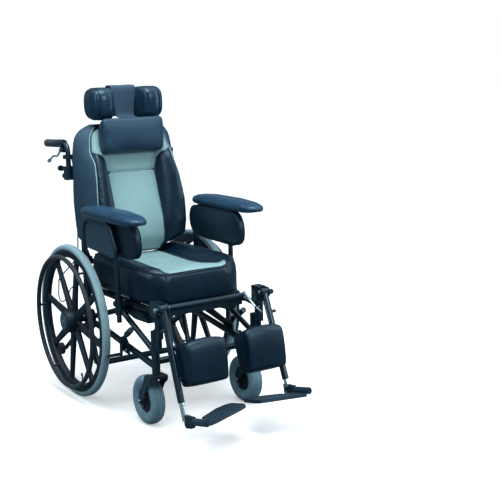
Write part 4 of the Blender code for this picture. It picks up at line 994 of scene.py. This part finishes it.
# ---------------------------------------------------------------- back cushion
BACK_ROWS = [(0.560, 0.100, 0.046, 0.095, -0.050, 0.087, -0.049),
             (0.575, 0.104, 0.052, 0.099, -0.055, 0.092, -0.053),
             (0.588, 0.118, 0.058, 0.110, -0.062, 0.099, -0.058),
             (0.597, 0.170, 0.062, 0.146, -0.072, 0.105, -0.062),
             (0.606, 0.200, 0.065, 0.170, -0.084, 0.107, -0.067),
             (0.620, 0.216, 0.067, 0.186, -0.099, 0.107, -0.072),
             (0.680, 0.222, 0.070, 0.190, -0.109, 0.107, -0.066),
             (0.770, 0.226, 0.073, 0.188, -0.106, 0.107, -0.038),
             (0.870, 0.227, 0.076, 0.176, -0.082, 0.106, -0.003),
             (0.940, 0.227, 0.077, 0.165, -0.048, 0.113, 0.013),
             (0.985, 0.223, 0.078, 0.157, -0.011, 0.128, 0.029),
             (1.030, 0.215, 0.078, 0.147, 0.013, 0.124, 0.033),
             (1.062, 0.191, 0.079, 0.129, 0.032, 0.109, 0.037),
             (1.080, 0.148, 0.077, 0.107, 0.046, 0.081, 0.048)]


def back_half(row, per=12):
    """right half of the back's outline at one height, from the middle of the front to the middle of the rear"""
    z, rh, ry, gh, gy, ph, py = row
    pts = [(ph * t, py - 0.006 * (1 - t * t)) for t in np.linspace(0, 1, per)[:-1]]
    a, g = np.array((ph, py)), np.array((gh, gy))
    c = g - a
    n = np.array((c[1], -c[0])) / max(np.linalg.norm(c), 1e-6)
    pts += [tuple(a + c * t + n * 0.013 * sin(pi * t) ** 0.8) for t in np.linspace(0, 1, per)[:-1]]
    fy = float(np.interp(z, [0.588, 0.606, 0.620, 0.680, 0.780, 0.840, 0.870, 1.040, 1.062, 1.080],
                         [ry, 0.071, 0.083, 0.089, 0.090, 0.085, 0.081, 0.081, 0.080, ry]))
    r = np.array((rh, fy - 0.017))
    c = r - g
    n = np.array((-c[1], c[0])) / max(np.linalg.norm(c), 1e-6)
    n = n if n[0] > 0 else -n
    pts += [tuple(g + c * t + n * 0.006 * sin(pi * t)) for t in np.linspace(0, 1, per)[:-1]]
    inner = min(0.1975, rh - 0.016)
    pts += [tuple(r), (rh - 0.0035, fy - 0.0055), (rh - 0.010, fy - 0.0006), (inner + 0.003, fy - 0.0006), (inner, ry)]
    pts += [(inner * t, ry) for t in np.linspace(1, 0, 7)[1:]]
    return np.array(pts)


def back_at(z, u):
    """point of the back's unpuffed surface at height z: u runs 0..1 over the panel, 1..2 over the bolster, 2..3 over the side"""
    rows = np.array(BACK_ROWS)
    row = [z] + [np.interp(z, rows[:, 0], rows[:, k]) for k in range(1, 7)]
    half = back_half(row, 12)
    k = min(max(u, 0.0), 3.0) * 11
    i = int(k)
    f = k - i
    q = half[i] * (1 - f) + half[min(i + 1, len(half) - 1)] * f
    return (q[0], q[1], z)


def back():
    rings = []
    for row in smooth_rows(BACK_ROWS, 76, 1.2):
        half = back_half(row)
        z = row[0]
        rings.append([(x, y, z) for x, y in half] + [(-x, y, z) for x, y in half[-2:0:-1]])
    o = new_object("back_cushion_padded", *loft(shifted(rings)), LEATHER)

    def line(us, zs, s):
        pts = np.array([back_at(z, u) for z, u in zip(zs, us)])
        pts[:, 0] *= s
        return shifted(pts)
    zs = np.linspace(0.598, 1.068, 90)
    welt_u = np.interp(zs, [0.60, 0.66, 0.93, 0.97, 1.07], [2.05, 2.10, 2.13, 2.25, 2.26])
    welts = [line(welt_u, zs, s) for s in (1, -1)]
    edge_z = np.array([0.558, 0.66, 0.735, 0.787, 0.851, 0.885, 0.915, 0.9525, 0.9665, 0.970])
    edge_u = np.array([1.0, 1.0, 1.0, 1.0, 1.0, 1.0, 1.10, 1.55, 2.05, 2.24])
    dz = np.linspace(0.570, 0.970, 76)
    du = np.interp(dz, edge_z, edge_u)
    edges = [line(du, dz, s) for s in (1, -1)]
    seam_x = np.linspace(-1, 1, 30)
    seam = shifted(np.array([(0.103 * t, back_at(0.889 - 0.003 * (1 - t * t), abs(t))[1], 0.889 - 0.004 * (1 - t * t)) for t in seam_x]))
    over = spline([tuple(welts[0][-1]), (0.075, SHIFT + 0.052, 1.078), (0.0, SHIFT + 0.054, 1.080), (-0.075, SHIFT + 0.052, 1.078), tuple(welts[1][-1])], 60)

    def cap(co):
        y = co[:, 1] - SHIFT
        x = abs(co[:, 0])
        z = co[:, 2]
        lim = np.full(len(co), 0.009)
        bolster = (x > 0.108) & (y < 0.0)
        lim = np.where(bolster, 0.014, lim)
        lim = np.where((x < 0.104), 0.0045, lim)
        rear = np.interp(z, [0.588, 0.620, 0.680, 0.780, 0.870, 1.080], [0.052, 0.066, 0.071, 0.072, 0.068, 0.068])
        return np.where((y > rear) | (z < 0.592), 0.0008, lim)
    puff(o, 0.0060, cap, welts + edges + [seam, over], hold=lambda co: (co[:, 1] > SHIFT + np.interp(co[:, 2], [0.606, 0.620, 0.680, 0.780, 0.870, 1.080], [0.060, 0.064, 0.068, 0.071, 0.073, 0.073])) | (co[:, 2] < 0.592), pressure=3.5)
    groove(o, welts, 0.0020, 0.0045)
    subdivided(o)
    # the side faces and the rear are a lighter vinyl
    ridge = np.array([back_at(z, u) for z, u in zip(zs, welt_u)])

    def outer(c):
        y = c[:, 1] - SHIFT
        lim = np.interp(c[:, 2], ridge[:, 2], ridge[:, 1])
        wide = np.interp(c[:, 2], ridge[:, 2], ridge[:, 0])
        return ((y > lim) & (abs(c[:, 0]) > wide - 0.004)) | (y > 0.055) | ((c[:, 2] > 1.060) & (y > 0.047))
    material_where(o, SIDE_VINYL, outer)
    attach(o, "back", ["back_cushion"])
    bvh = surface_of(o)

    def cast(a, b):
        hit = bvh.ray_cast(Vector((a, SHIFT - 0.40, b)), Vector((0, 1, 0)))
        if hit[0] is None:
            loc, n, _, _ = bvh.find_nearest(Vector((a, SHIFT, b)))
            return loc, n
        n = (hit[1] + Vector((0, -0.6, 0))).normalized()
        return hit[0], n
    half = []
    for z in list(np.linspace(0.5605, 0.885, 27)) + [0.900, 0.915, 0.930, 0.942, 0.9525, 0.960, 0.9655, 0.9685]:
        x = back_at(z, float(np.interp(z, edge_z, edge_u)))[0]
        half.append((x, z))
    for z, u in ((0.972, 2.23), (0.985, 2.23), (1.000, 2.23), (1.020, 2.23), (1.040, 2.23), (1.056, 2.22), (1.064, 2.10)):
        half.append((back_at(z, u)[0], z))
    half += [(0.100, 1.070), (0.060, 1.0725)]
    outline = np.array(half + [(-x, z) for x, z in reversed(half)])
    seam2 = [(0.1035 * t, 0.889 - 0.004 * (1 - t * t)) for t in np.linspace(-1, 1, 20)]
    p, ring = patch("back_panel_fabric", outline, cast, SILVER, 0.0036, 0.0015, 0.009, 0.0055, [seam2], 0.0042)
    attach(p, "back")
    # piping on the ridge between the bolster and the side face; its pale colour is partly a painted highlight along
    # that ridge
    h = Heap()
    for w in welts:
        h.add(*tube_geo(lay(bvh, w, 0.0011, 120), 0.0023, 10))
    h.make("back_piping_grey", PIPING_PAINTED_HIGHLIGHT, "back")
    h = Heap()
    edge = np.array([np.array(cast(a, b)[0]) for a, b in ring if b < 0.969])
    for s in (1, -1):
        e = np.array([q for q in edge if q[0] * s > 0.09])
        e = e[np.argsort(e[:, 2])]
        h.add(*tube_geo(lay(bvh, e, 0.0006, 110), 0.0016, 8))
    h.add(*tube_geo(lay(bvh, over, 0.0008, 50), 0.0020, 8))
    h.make("back_piping_dark", PIPING_DARK, "back")
    h = Heap()
    for s in (1, -1):
        rows = [(back_at(z, float(np.interp(z, edge_z, edge_u)))[0] * 0.955, z) for z in np.linspace(0.62, 0.945, 60)]
        line_pts = []
        for a, b in rows:
            loc, n = cast(a * s, b)
            line_pts.append(np.array(loc) + np.array(n) * 0.0032)
        stitches(h, line_pts)
    for dz_ in (-0.0075, 0.0075):
        line_pts = []
        for a, b in seam2[1:-1]:
            loc, n = cast(a * 0.93, b + dz_)
            line_pts.append(np.array(loc) + np.array(n) * 0.0030)
        stitches(h, line_pts)
    h.make("back_panel_stitching", THREAD, "back")


# ---------------------------------------------------------------- headrest
def superloop(cy, cz, hy, hz, power, n=48):
    a = np.linspace(0, 2 * pi, n, endpoint=False)
    return [(cy + hy * np.sign(cos(t)) * abs(cos(t)) ** power, cz + hz * np.sign(sin(t)) * abs(sin(t)) ** power) for t in a]


def headrest():
    rows = [(0.1605, 0.018, 0.070, 1.137, 1.188), (0.1575, 0.000, 0.085, 1.119, 1.206), (0.150, -0.012, 0.094, 1.106, 1.218), (0.136, -0.021, 0.099, 1.098, 1.2245),
            (0.112, -0.0265, 0.101, 1.0955, 1.2265), (0.086, -0.0255, 0.101, 1.096, 1.2260), (0.070, -0.016, 0.101, 1.098, 1.2245), (0.061, 0.006, 0.101, 1.102, 1.2220),
            (0.054, 0.038, 0.101, 1.106, 1.2190), (0.049, 0.046, 0.101, 1.107, 1.2180), (0.0, 0.047, 0.101, 1.108, 1.218)]
    full = rows + [(-r[0], *r[1:]) for r in rows[:-1]]
    rings = []
    for x, f, b, lo, hi in smooth_rows(full, 84, 0.9):
        rings.append([(x, y, z) for y, z in superloop((f + b) / 2, (lo + hi) / 2, (b - f) / 2, (hi - lo) / 2, 0.64)])
    o = new_object("head_pad_padded", *loft(shifted(rings)), HEAD_LEATHER)
    ring_x = 0.134
    rings_s = []
    for s in (1, -1):
        loop = superloop(0.0385, 1.1612, 0.0600, 0.0640, 0.64, 90)
        rings_s.append(shifted([(s * ring_x, y, z) for y, z in loop + loop[:1]]))

    def cap(co):
        x = abs(co[:, 0])
        return np.where(x < 0.060, 0.0015, 0.009)
    puff(o, 0.0046, cap, rings_s, hold=lambda co: abs(co[:, 0]) < 0.046, pressure=4.0, pin_width=0.005)
    groove(o, rings_s, 0.0022, 0.0040)
    subdivided(o)
    attach(o, "head", ["head_pad"])
    bvh = surface_of(o)
    h = Heap()
    for r in rings_s:
        h.add(*tube_geo(lay(bvh, r[:-1], 0.0008, 110, True), 0.0020, 8, closed=True))
    h.make("head_pad_piping", PIPING_DARK, "head")
    # lugs that take the stem
    h = Heap()
    for s in (1, -1):
        h.box((s * 0.0685 - 0.002, SHIFT + 0.078, 1.081), (s * 0.0685 + 0.002, SHIFT + 0.101, 1.114), 0.0008)
        h.bolt((s * 0.0705, SHIFT + 0.0955, 1.088), (s, 0, 0), 0.0050, 0.0030)
    h.make("head_pad_lugs", PAINT, "head")

    # strap over the head pad
    path = spline([(0.1072, 1.132), (0.1076, 1.180), (0.1068, 1.2190), (0.1020, 1.2280), (0.0920, 1.2305), (0.0700, 1.2310), (0.0520, 1.2300), (0.0425, 1.2255), (0.0390, 1.2150),
                   (0.0385, 1.1800), (0.0380, 1.1400), (0.0365, 1.1180), (0.0320, 1.1085), (0.0180, 1.1055), (0.0050, 1.1035)], 90)
    t = np.gradient(path, axis=0)
    t /= np.linalg.norm(t, axis=1)[:, None]
    nrm = np.stack([-t[:, 1], t[:, 0]], 1)
    rings = []
    for k, ((y, z), n) in enumerate(zip(path, nrm)):
        w = np.interp(k, [0, 30, 38, 54, 62, 72, 89], [0.0475, 0.0500, 0.0560, 0.0560, 0.0480, 0.0440, 0.0400])
        ring = []
        for a, b in [(q, 1) for q in np.linspace(-1, 1, 17)] + [(q, -1) for q in np.linspace(1, -1, 17)]:
            hem = 0.0006 * np.exp(-((abs(a) - 0.955) / 0.025) ** 2)
            th = (0.0014 + hem + 0.0005 * sin(a * 5.0 + k * 0.13)) * b
            th = th * (1 - 0.5 * abs(a) ** 16)
            ring.append((a * w, y + n[0] * th, z + n[1] * th))
        rings.append(ring)
    o = new_object("headrest_strap_fabric", *loft(shifted(rings)), WOVEN)
    subdivided(o)
    attach(o, "head", ["headrest_strap"])
    h = Heap()
    for s in (1, -1):
        wide = np.interp(np.arange(len(path)), [0, 30, 38, 54, 62, 72, 89], [0.0435, 0.0460, 0.0520, 0.0520, 0.0440, 0.0400, 0.0360])
        line = [(s * e, y + n[0] * 0.0021, z + n[1] * 0.0021) for (y, z), n, e in zip(path[6:], nrm[6:], wide[6:])]
        line2 = [(s * e, y - n[0] * 0.0021, z - n[1] * 0.0021) for (y, z), n, e in zip(path[6:], nrm[6:], wide[6:])]
        stitches(h, shifted(line), 0.005, 0.0032, 0.0004)
        stitches(h, shifted(line2), 0.005, 0.0032, 0.0004)
    h.make("headrest_strap_stitching", THREAD_DARK, "head")

    # neck pillow
    section = np.array([(-0.045, 0.990), (-0.036, 0.970), (-0.012, 0.964), (0.009, 0.970), (0.0165, 0.990), (0.0175, 1.038), (0.0150, 1.070), (0.000, 1.0900), (-0.017, 1.1035),
                        (-0.031, 1.1095), (-0.043, 1.1005), (-0.0485, 1.075), (-0.0485, 1.035)])
    loop = spline(section, 72, True)
    mid = loop.mean(0)
    rings = []
    for x in np.linspace(-0.134, 0.134, 62):
        e = max(0.0, (abs(x) - 0.120) / 0.014)
        k = 0.955 - 0.10 * e ** 2
        rings.append([(x, mid[0] + (y - mid[0]) * k, mid[1] + (z - mid[1]) * k) for y, z in loop])
    o = new_object("neck_pillow_padded", *loft(shifted(rings)), PILLOW)
    ends = [shifted([(s * 0.1215, mid[0] + (y - mid[0]) * 0.955, mid[1] + (z - mid[1]) * 0.955) for y, z in np.vstack([loop, loop[:1]])]) for s in (1, -1)]
    puff(o, 0.0048, 0.008, ends, pressure=4.0, pin_width=0.005, hold=lambda co: co[:, 1] > SHIFT + 0.0158)
    groove(o, ends, 0.0018, 0.0040)
    subdivided(o)
    attach(o, "head", ["neck_pillow"])
    bvh = surface_of(o)
    h = Heap()
    for e in ends:
        h.add(*tube_geo(lay(bvh, e[:-1], 0.0009, 100, True), 0.0019, 8, closed=True))
    h.make("neck_pillow_piping", SIDE_VINYL, "head")


# ---------------------------------------------------------------- armrests
def armrests():
    rows = [(-0.080, 0.006, 0.7520, 0.7620, 0.004), (-0.084, 0.014, 0.7500, 0.7650, 0.008), (-0.094, 0.025, 0.7465, 0.7725, 0.012), (-0.135, 0.0365, 0.7445, 0.7835, 0.018),
            (-0.220, 0.0430, 0.7440, 0.7890, 0.022), (-0.400, 0.0470, 0.7440, 0.7895, 0.022), (-0.490, 0.0460, 0.7450, 0.7845, 0.020), (-0.532, 0.0365, 0.7480, 0.7775, 0.015),
            (-0.550, 0.0220, 0.7530, 0.7705, 0.010), (-0.5565, 0.0100, 0.7570, 0.7660, 0.006)]
    for side, s in SIDES:
        body = f"arm_{side}"
        x0 = s * 0.250
        rings = []
        for y, w, zb, zt, fl in smooth_rows(rows, 110, 1.6):
            m, hgt = (zb + zt) / 2, zt - zb
            pts = [(-w * 0.55, zb), (-w * 0.86, zb + 0.08 * hgt), (-w, m - 0.14 * hgt), (-w * 0.985, m + 0.10 * hgt), (-w * 0.86, m + 0.30 * hgt), (-fl * 1.25, zt - 0.035 * hgt), (0.0, zt),
                   (fl * 1.25, zt - 0.035 * hgt), (w * 0.86, m + 0.30 * hgt), (w * 0.985, m + 0.10 * hgt), (w, m - 0.14 * hgt), (w * 0.86, zb + 0.08 * hgt), (w * 0.55, zb), (0.0, zb)]
            rings.append([(x0 + a, y, b) for a, b in spline(pts, 44, True)])
        o = new_object(f"arm_pad_{side}_padded", *loft(shifted(rings)), PAD)
        line = []
        for y, w, zb, zt, fl in smooth_rows(rows, 60, 1.6):
            line.append((w * 0.985, y, zb + 0.30 * (zt - zb)))
        seam = shifted([(x0 + a, y, z) for a, y, z in line] + [(x0 - a, y, z) for a, y, z in reversed(line)])
        groove(o, [np.vstack([seam, seam[:1]])], 0.0010, 0.0022)
        attach(o, body, [f"arm_pad_{side}"])
        bvh = surface_of(o)
        h = Heap()
        h.add(*tube_geo(lay(bvh, seam, 0.0002, 240, True), 0.0011, 8, closed=True))
        h.make(f"arm_pad_{side}_seam", PIPING_DARK, body)

        outline = [(-0.095, 0.665), (-0.098, 0.715), (-0.118, 0.737), (-0.160, 0.7425), (-0.400, 0.7425), (-0.445, 0.738), (-0.473, 0.707), (-0.480, 0.665), (-0.472, 0.632),
                   (-0.440, 0.613), (-0.350, 0.611), (-0.190, 0.616), (-0.120, 0.630)]
        loop = spline(outline, 120, True)
        mid = np.array((-0.285, 0.677))
        inward = -(loop - mid) / np.linalg.norm(loop - mid, axis=1)[:, None]
        rings = []
        for xx, inset in ((0.2380, 0.016), (0.2370, 0.008), (0.2345, 0.0025), (0.2310, 0.0004), (0.2140, 0.0004), (0.2100, 0.0025), (0.2075, 0.009), (0.2065, 0.018)):
            rings.append([(s * xx, *(p + i * inset)) for p, i in zip(loop, inward)])
        o = new_object(f"arm_side_cushion_{side}_padded", *loft(shifted(rings)), LEATHER)
        welt = [shifted([(s * xx, *(p + i * 0.0015)) for p, i in zip(loop, inward)]) for xx in (0.2325, 0.2120)]
        welt = [np.vstack([w, w[:1]]) for w in welt]

        def cap(co):
            return np.where(abs(co[:, 0]) > 0.2355, 0.0012, 0.0085)
        puff(o, 0.0046, cap, welt, pressure=4.0, pin_width=0.004, hold=lambda co: abs(co[:, 0]) > 0.2365)
        groove(o, welt, 0.0010, 0.0035)
        subdivided(o)
        attach(o, body, [f"arm_side_cushion_{side}"])
        bvh = surface_of(o)
        h = Heap()
        for w in welt:
            h.add(*tube_geo(lay(bvh, w[:-1], 0.0008, 170, True), 0.0020, 8, closed=True))
        h.make(f"arm_side_cushion_{side}_piping", PIPING_DARK, body)


# ---------------------------------------------------------------- calf pads
LEAN = {-1.0: radians(19.3), 1.0: radians(22.7)}


def leg_point(s, d, off=0.0):
    a = LEAN[s]
    return (-0.628 - sin(a) * d - cos(a) * off, 0.462 - cos(a) * d + sin(a) * off)


def calf_pads():
    outline = np.array([(0.133, -0.005), (0.129, 0.030), (0.1275, 0.068), (0.134, 0.084), (0.151, 0.0905), (0.200, 0.0855), (0.258, 0.0705), (0.279, 0.0635), (0.2865, 0.052),
                        (0.2865, 0.028), (0.283, -0.003), (0.273, -0.0105), (0.143, -0.0105)])
    loop = spline(outline, 72, True)
    mid = np.array((0.207, 0.040))
    for side, s in SIDES:
        rings = []
        for x in np.linspace(0.0410, 0.1990, 76):
            e = min(x - 0.0410, 0.1990 - x)
            k = 1.0 - 0.075 * np.exp(-(e / 0.0048) ** 2)
            t = (x - 0.1200) / 0.0790
            ring = []
            for d, q in loop:
                front = np.clip((q - 0.040) / 0.040, 0, 1)
                bulge = front * 0.0050 * (1 - t * t)
                # the top edge is arched
                drop = 0.0095 * t * t * np.clip((0.175 - d) / 0.040, 0, 1)
                ring.append((s * x, *leg_point(s, mid[0] + (d - mid[0]) * k + drop, mid[1] + (q - mid[1]) * k + bulge)))
            rings.append(ring)
        o = new_object(f"calf_pad_{side}_padded", *loft(shifted(rings)), LEATHER)
        welts = []
        for x in (0.0455, 0.1945):
            t = (x - 0.1200) / 0.0790
            pts = [(s * x, *leg_point(s, mid[0] + (d - mid[0]) * 0.97 + 0.0095 * t * t * np.clip((0.175 - d) / 0.040, 0, 1), mid[1] + (q - mid[1]) * 0.97)) for d, q in np.vstack([loop, loop[:1]])]
            welts.append(shifted(pts))

        def cap(co):
            return np.full(len(co), 0.0070)
        body = f"leg_{side}"
        ny, nz = leg_point(s, 0.0, 1.0)
        y0, z0 = leg_point(s, 0.0, 0.0)
        f = np.array((0.0, ny - y0, nz - z0))
        o0 = np.array((0.0, y0 + SHIFT, z0))
        puff(o, 0.0044, cap, welts, pressure=4.0, pin_width=0.0045, hold=lambda co: ((co - o0) @ f) < -0.004)
        groove(o, welts, 0.0010, 0.0030)
        subdivided(o)
        attach(o, body, [f"calf_pad_{side}"])
        bvh = surface_of(o)
        h = Heap()
        for w in welts:
            h.add(*tube_geo(lay(bvh, w[:-1], 0.0006, 110, True), 0.0017, 8, closed=True))
        h.make(f"calf_pad_{side}_piping", PIPING_DARK, body)


seat()
back()
headrest()
armrests()
calf_pads()


# ---------------------------------------------------------------- hardware details
def details():
    S = SHIFT
    for side, s in SIDES:
        # base side frame: bolts on the axle plate, the tilt pivot, caps on the tube ends
        h = Heap()
        for y, z in ((-0.030, 0.282), (0.030, 0.282), (-0.026, 0.334), (0.018, 0.334)):
            h.bolt((s * 0.2205, S + y, z), (s, 0, 0), 0.0052, 0.0032)
        h.bolt((s * 0.2275, S - 0.290, 0.400), (s, 0, 0), 0.0100, 0.0050)
        for y, z in ((-0.366, 0.256), (-0.328, 0.259)):
            h.bolt((s * 0.2390, S + y, z), (s, 0, 0), 0.0044, 0.0028)
        h.make(f"base_bolts_{side}", STEEL, "base")
        h = Heap()
        h.add(*lathe_z([(0.0002, 0.3605), (0.0138, 0.3605), (0.0146, 0.3625), (0.0136, 0.3660), (0.0080, 0.3675), (0.0002, 0.3678)], 24, (s * 0.2145, S - 0.5535, 0)))
        h.make(f"base_caps_{side}", PLASTIC, "base")
        # seat unit
        h = Heap()
        for y, z in ((-0.345, 0.4325), (-0.070, 0.4325)):
            h.bolt((s * 0.2250, S + y, z + 0.0105), (0, 0, 1), 0.0050, 0.0030)
        h.bolt((s * 0.2080, S + 0.060, 0.535), (s, 0, 0), 0.0080, 0.0040)
        for y in (-0.470, -0.270):
            h.bolt((s * 0.1770, S + y, 0.404), (s, 0, 0), 0.0050, 0.0032)
        h.make(f"seat_bolts_{side}", STEEL, "seat")
        # armrest height screws with lobed knobs
        h = Heap()
        for y, z in ((-0.345, 0.436), (-0.070, 0.456)):
            c = np.array((s * 0.2646, S + y, z))
            h.rod(c - np.array((s * 0.001, 0, 0)), c + np.array((s * 0.0020, 0, 0)), 0.0045, 12)
            for k in range(5):
                a = 2 * pi * k / 5
                e = np.array((0, cos(a), sin(a))) * 0.0062
                h.rod(c + e + np.array((s * 0.0010, 0, 0)), c + e + np.array((s * 0.0052, 0, 0)), 0.0052, 14, 0.0012)
            h.rod(c + np.array((s * 0.0010, 0, 0)), c + np.array((s * 0.0058, 0, 0)), 0.0080, 18, 0.0012)
        h.make(f"arm_knobs_{side}", PLASTIC, "seat")
        # legrest hanger: knee bolt and lock pin
        h = Heap()
        h.bolt((s * 0.2490, S - 0.631, 0.460), (s, 0, 0), 0.0072, 0.0040)
        h.bolt((s * 0.1940, S - 0.628, 0.462), (-s, 0, 0), 0.0064, 0.0036)
        h.make(f"hanger_bolts_{side}", STEEL, f"hanger_{side}")


details()


# ---------------------------------------------------------------- floor, light
def stage():
    g = Look("pale_floor", Roughness=0.70)
    g.bsdf.inputs["Specular IOR Level"].default_value = 0.15
    g.bsdf.inputs["Emission Color"].default_value = (1.0, 0.985, 0.98, 1)
    g.bsdf.inputs["Emission Strength"].default_value = 0.33
    tone = g.ramp(g.noise(1.3, 4.0, 0.5), [(0.3, (0.88, 0.88, 0.88)), (0.7, (0.90, 0.90, 0.90))])
    g.to(Base_Color=tone)
    # the object is lit as if it stood on a darker floor
    dim = g.node("BsdfDiffuse", {"Color": (0.10, 0.15, 0.18, 1)})
    seen_by = g.node("LightPath")
    both = g.node("MixShader", {0: seen_by.outputs["Is Camera Ray"], 1: dim.outputs[0], 2: g.bsdf.outputs[0]})
    end = next(n for n in g.tree.nodes if n.type == "OUTPUT_MATERIAL")
    g.tree.links.new(both.outputs[0], end.inputs["Surface"])
    me = bpy.data.meshes.new("floor")
    w = 60.0
    me.from_pydata([(-w, -w, 0), (w, -w, 0), (w, w, 0), (-w, w, 0)], [], [(0, 1, 2, 3)])
    floor = bpy.data.objects.new("floor", me)
    me.materials.append(g.mat)
    scene.collection.objects.link(floor)

    world = bpy.data.worlds.new("studio")
    scene.world = world
    world.use_nodes = True
    t = world.node_tree
    for n in list(t.nodes):
        t.nodes.remove(n)
    out = t.nodes.new("ShaderNodeOutputWorld")
    lit = t.nodes.new("ShaderNodeBackground")
    seen = t.nodes.new("ShaderNodeBackground")
    lit.inputs[0].default_value = (0.72, 0.90, 1.0, 1)
    lit.inputs[1].default_value = 0.26
    seen.inputs[0].default_value = (1, 1, 1, 1)
    seen.inputs[1].default_value = 1.0
    path = t.nodes.new("ShaderNodeLightPath")
    mixer = t.nodes.new("ShaderNodeMixShader")
    t.links.new(path.outputs["Is Camera Ray"], mixer.inputs[0])
    t.links.new(lit.outputs[0], mixer.inputs[1])
    t.links.new(seen.outputs[0], mixer.inputs[2])
    t.links.new(mixer.outputs[0], out.inputs[0])

    def light(kind, name, at, aim, power, colour, **props):
        d = bpy.data.lights.new(name, kind)
        d.energy = power
        d.color = colour
        for k, v in props.items():
            setattr(d, k, v)
        o = bpy.data.objects.new(name, d)
        o.location = at
        o.rotation_euler = (Vector(aim) - Vector(at)).to_track_quat("-Z", "Y").to_euler()
        scene.collection.objects.link(o)
        return o
    light("SUN", "sky_panel_left", (-2.5, 0.5, 5.0), (0, 0, 0), 1.25, (0.86, 0.95, 1.0), angle=radians(70))
    light("SUN", "sky_panel_right", (2.6, -0.8, 5.0), (0, 0, 0), 1.25, (0.86, 0.95, 1.0), angle=radians(70))
    light("AREA", "front_box", (0.6, -4.2, 2.6), (0, 0, 0.8), 80, (0.84, 0.95, 1.0), shape="RECTANGLE", size=1.6, size_y=1.2)
    light("AREA", "strip_right", (3.4, -2.2, 2.0), (0, 0, 0.7), 48, (0.80, 0.93, 1.0), shape="RECTANGLE", size=0.7, size_y=3.2)
    light("AREA", "strip_left", (-3.0, -1.0, 2.6), (0, 0, 0.7), 34, (0.80, 0.93, 1.0), shape="RECTANGLE", size=0.5, size_y=2.6)
    light("AREA", "top_box", (-0.3, -0.6, 3.4), (0, 0, 0.8), 80, (0.84, 0.95, 1.0), shape="RECTANGLE", size=1.6, size_y=1.6)


stage()
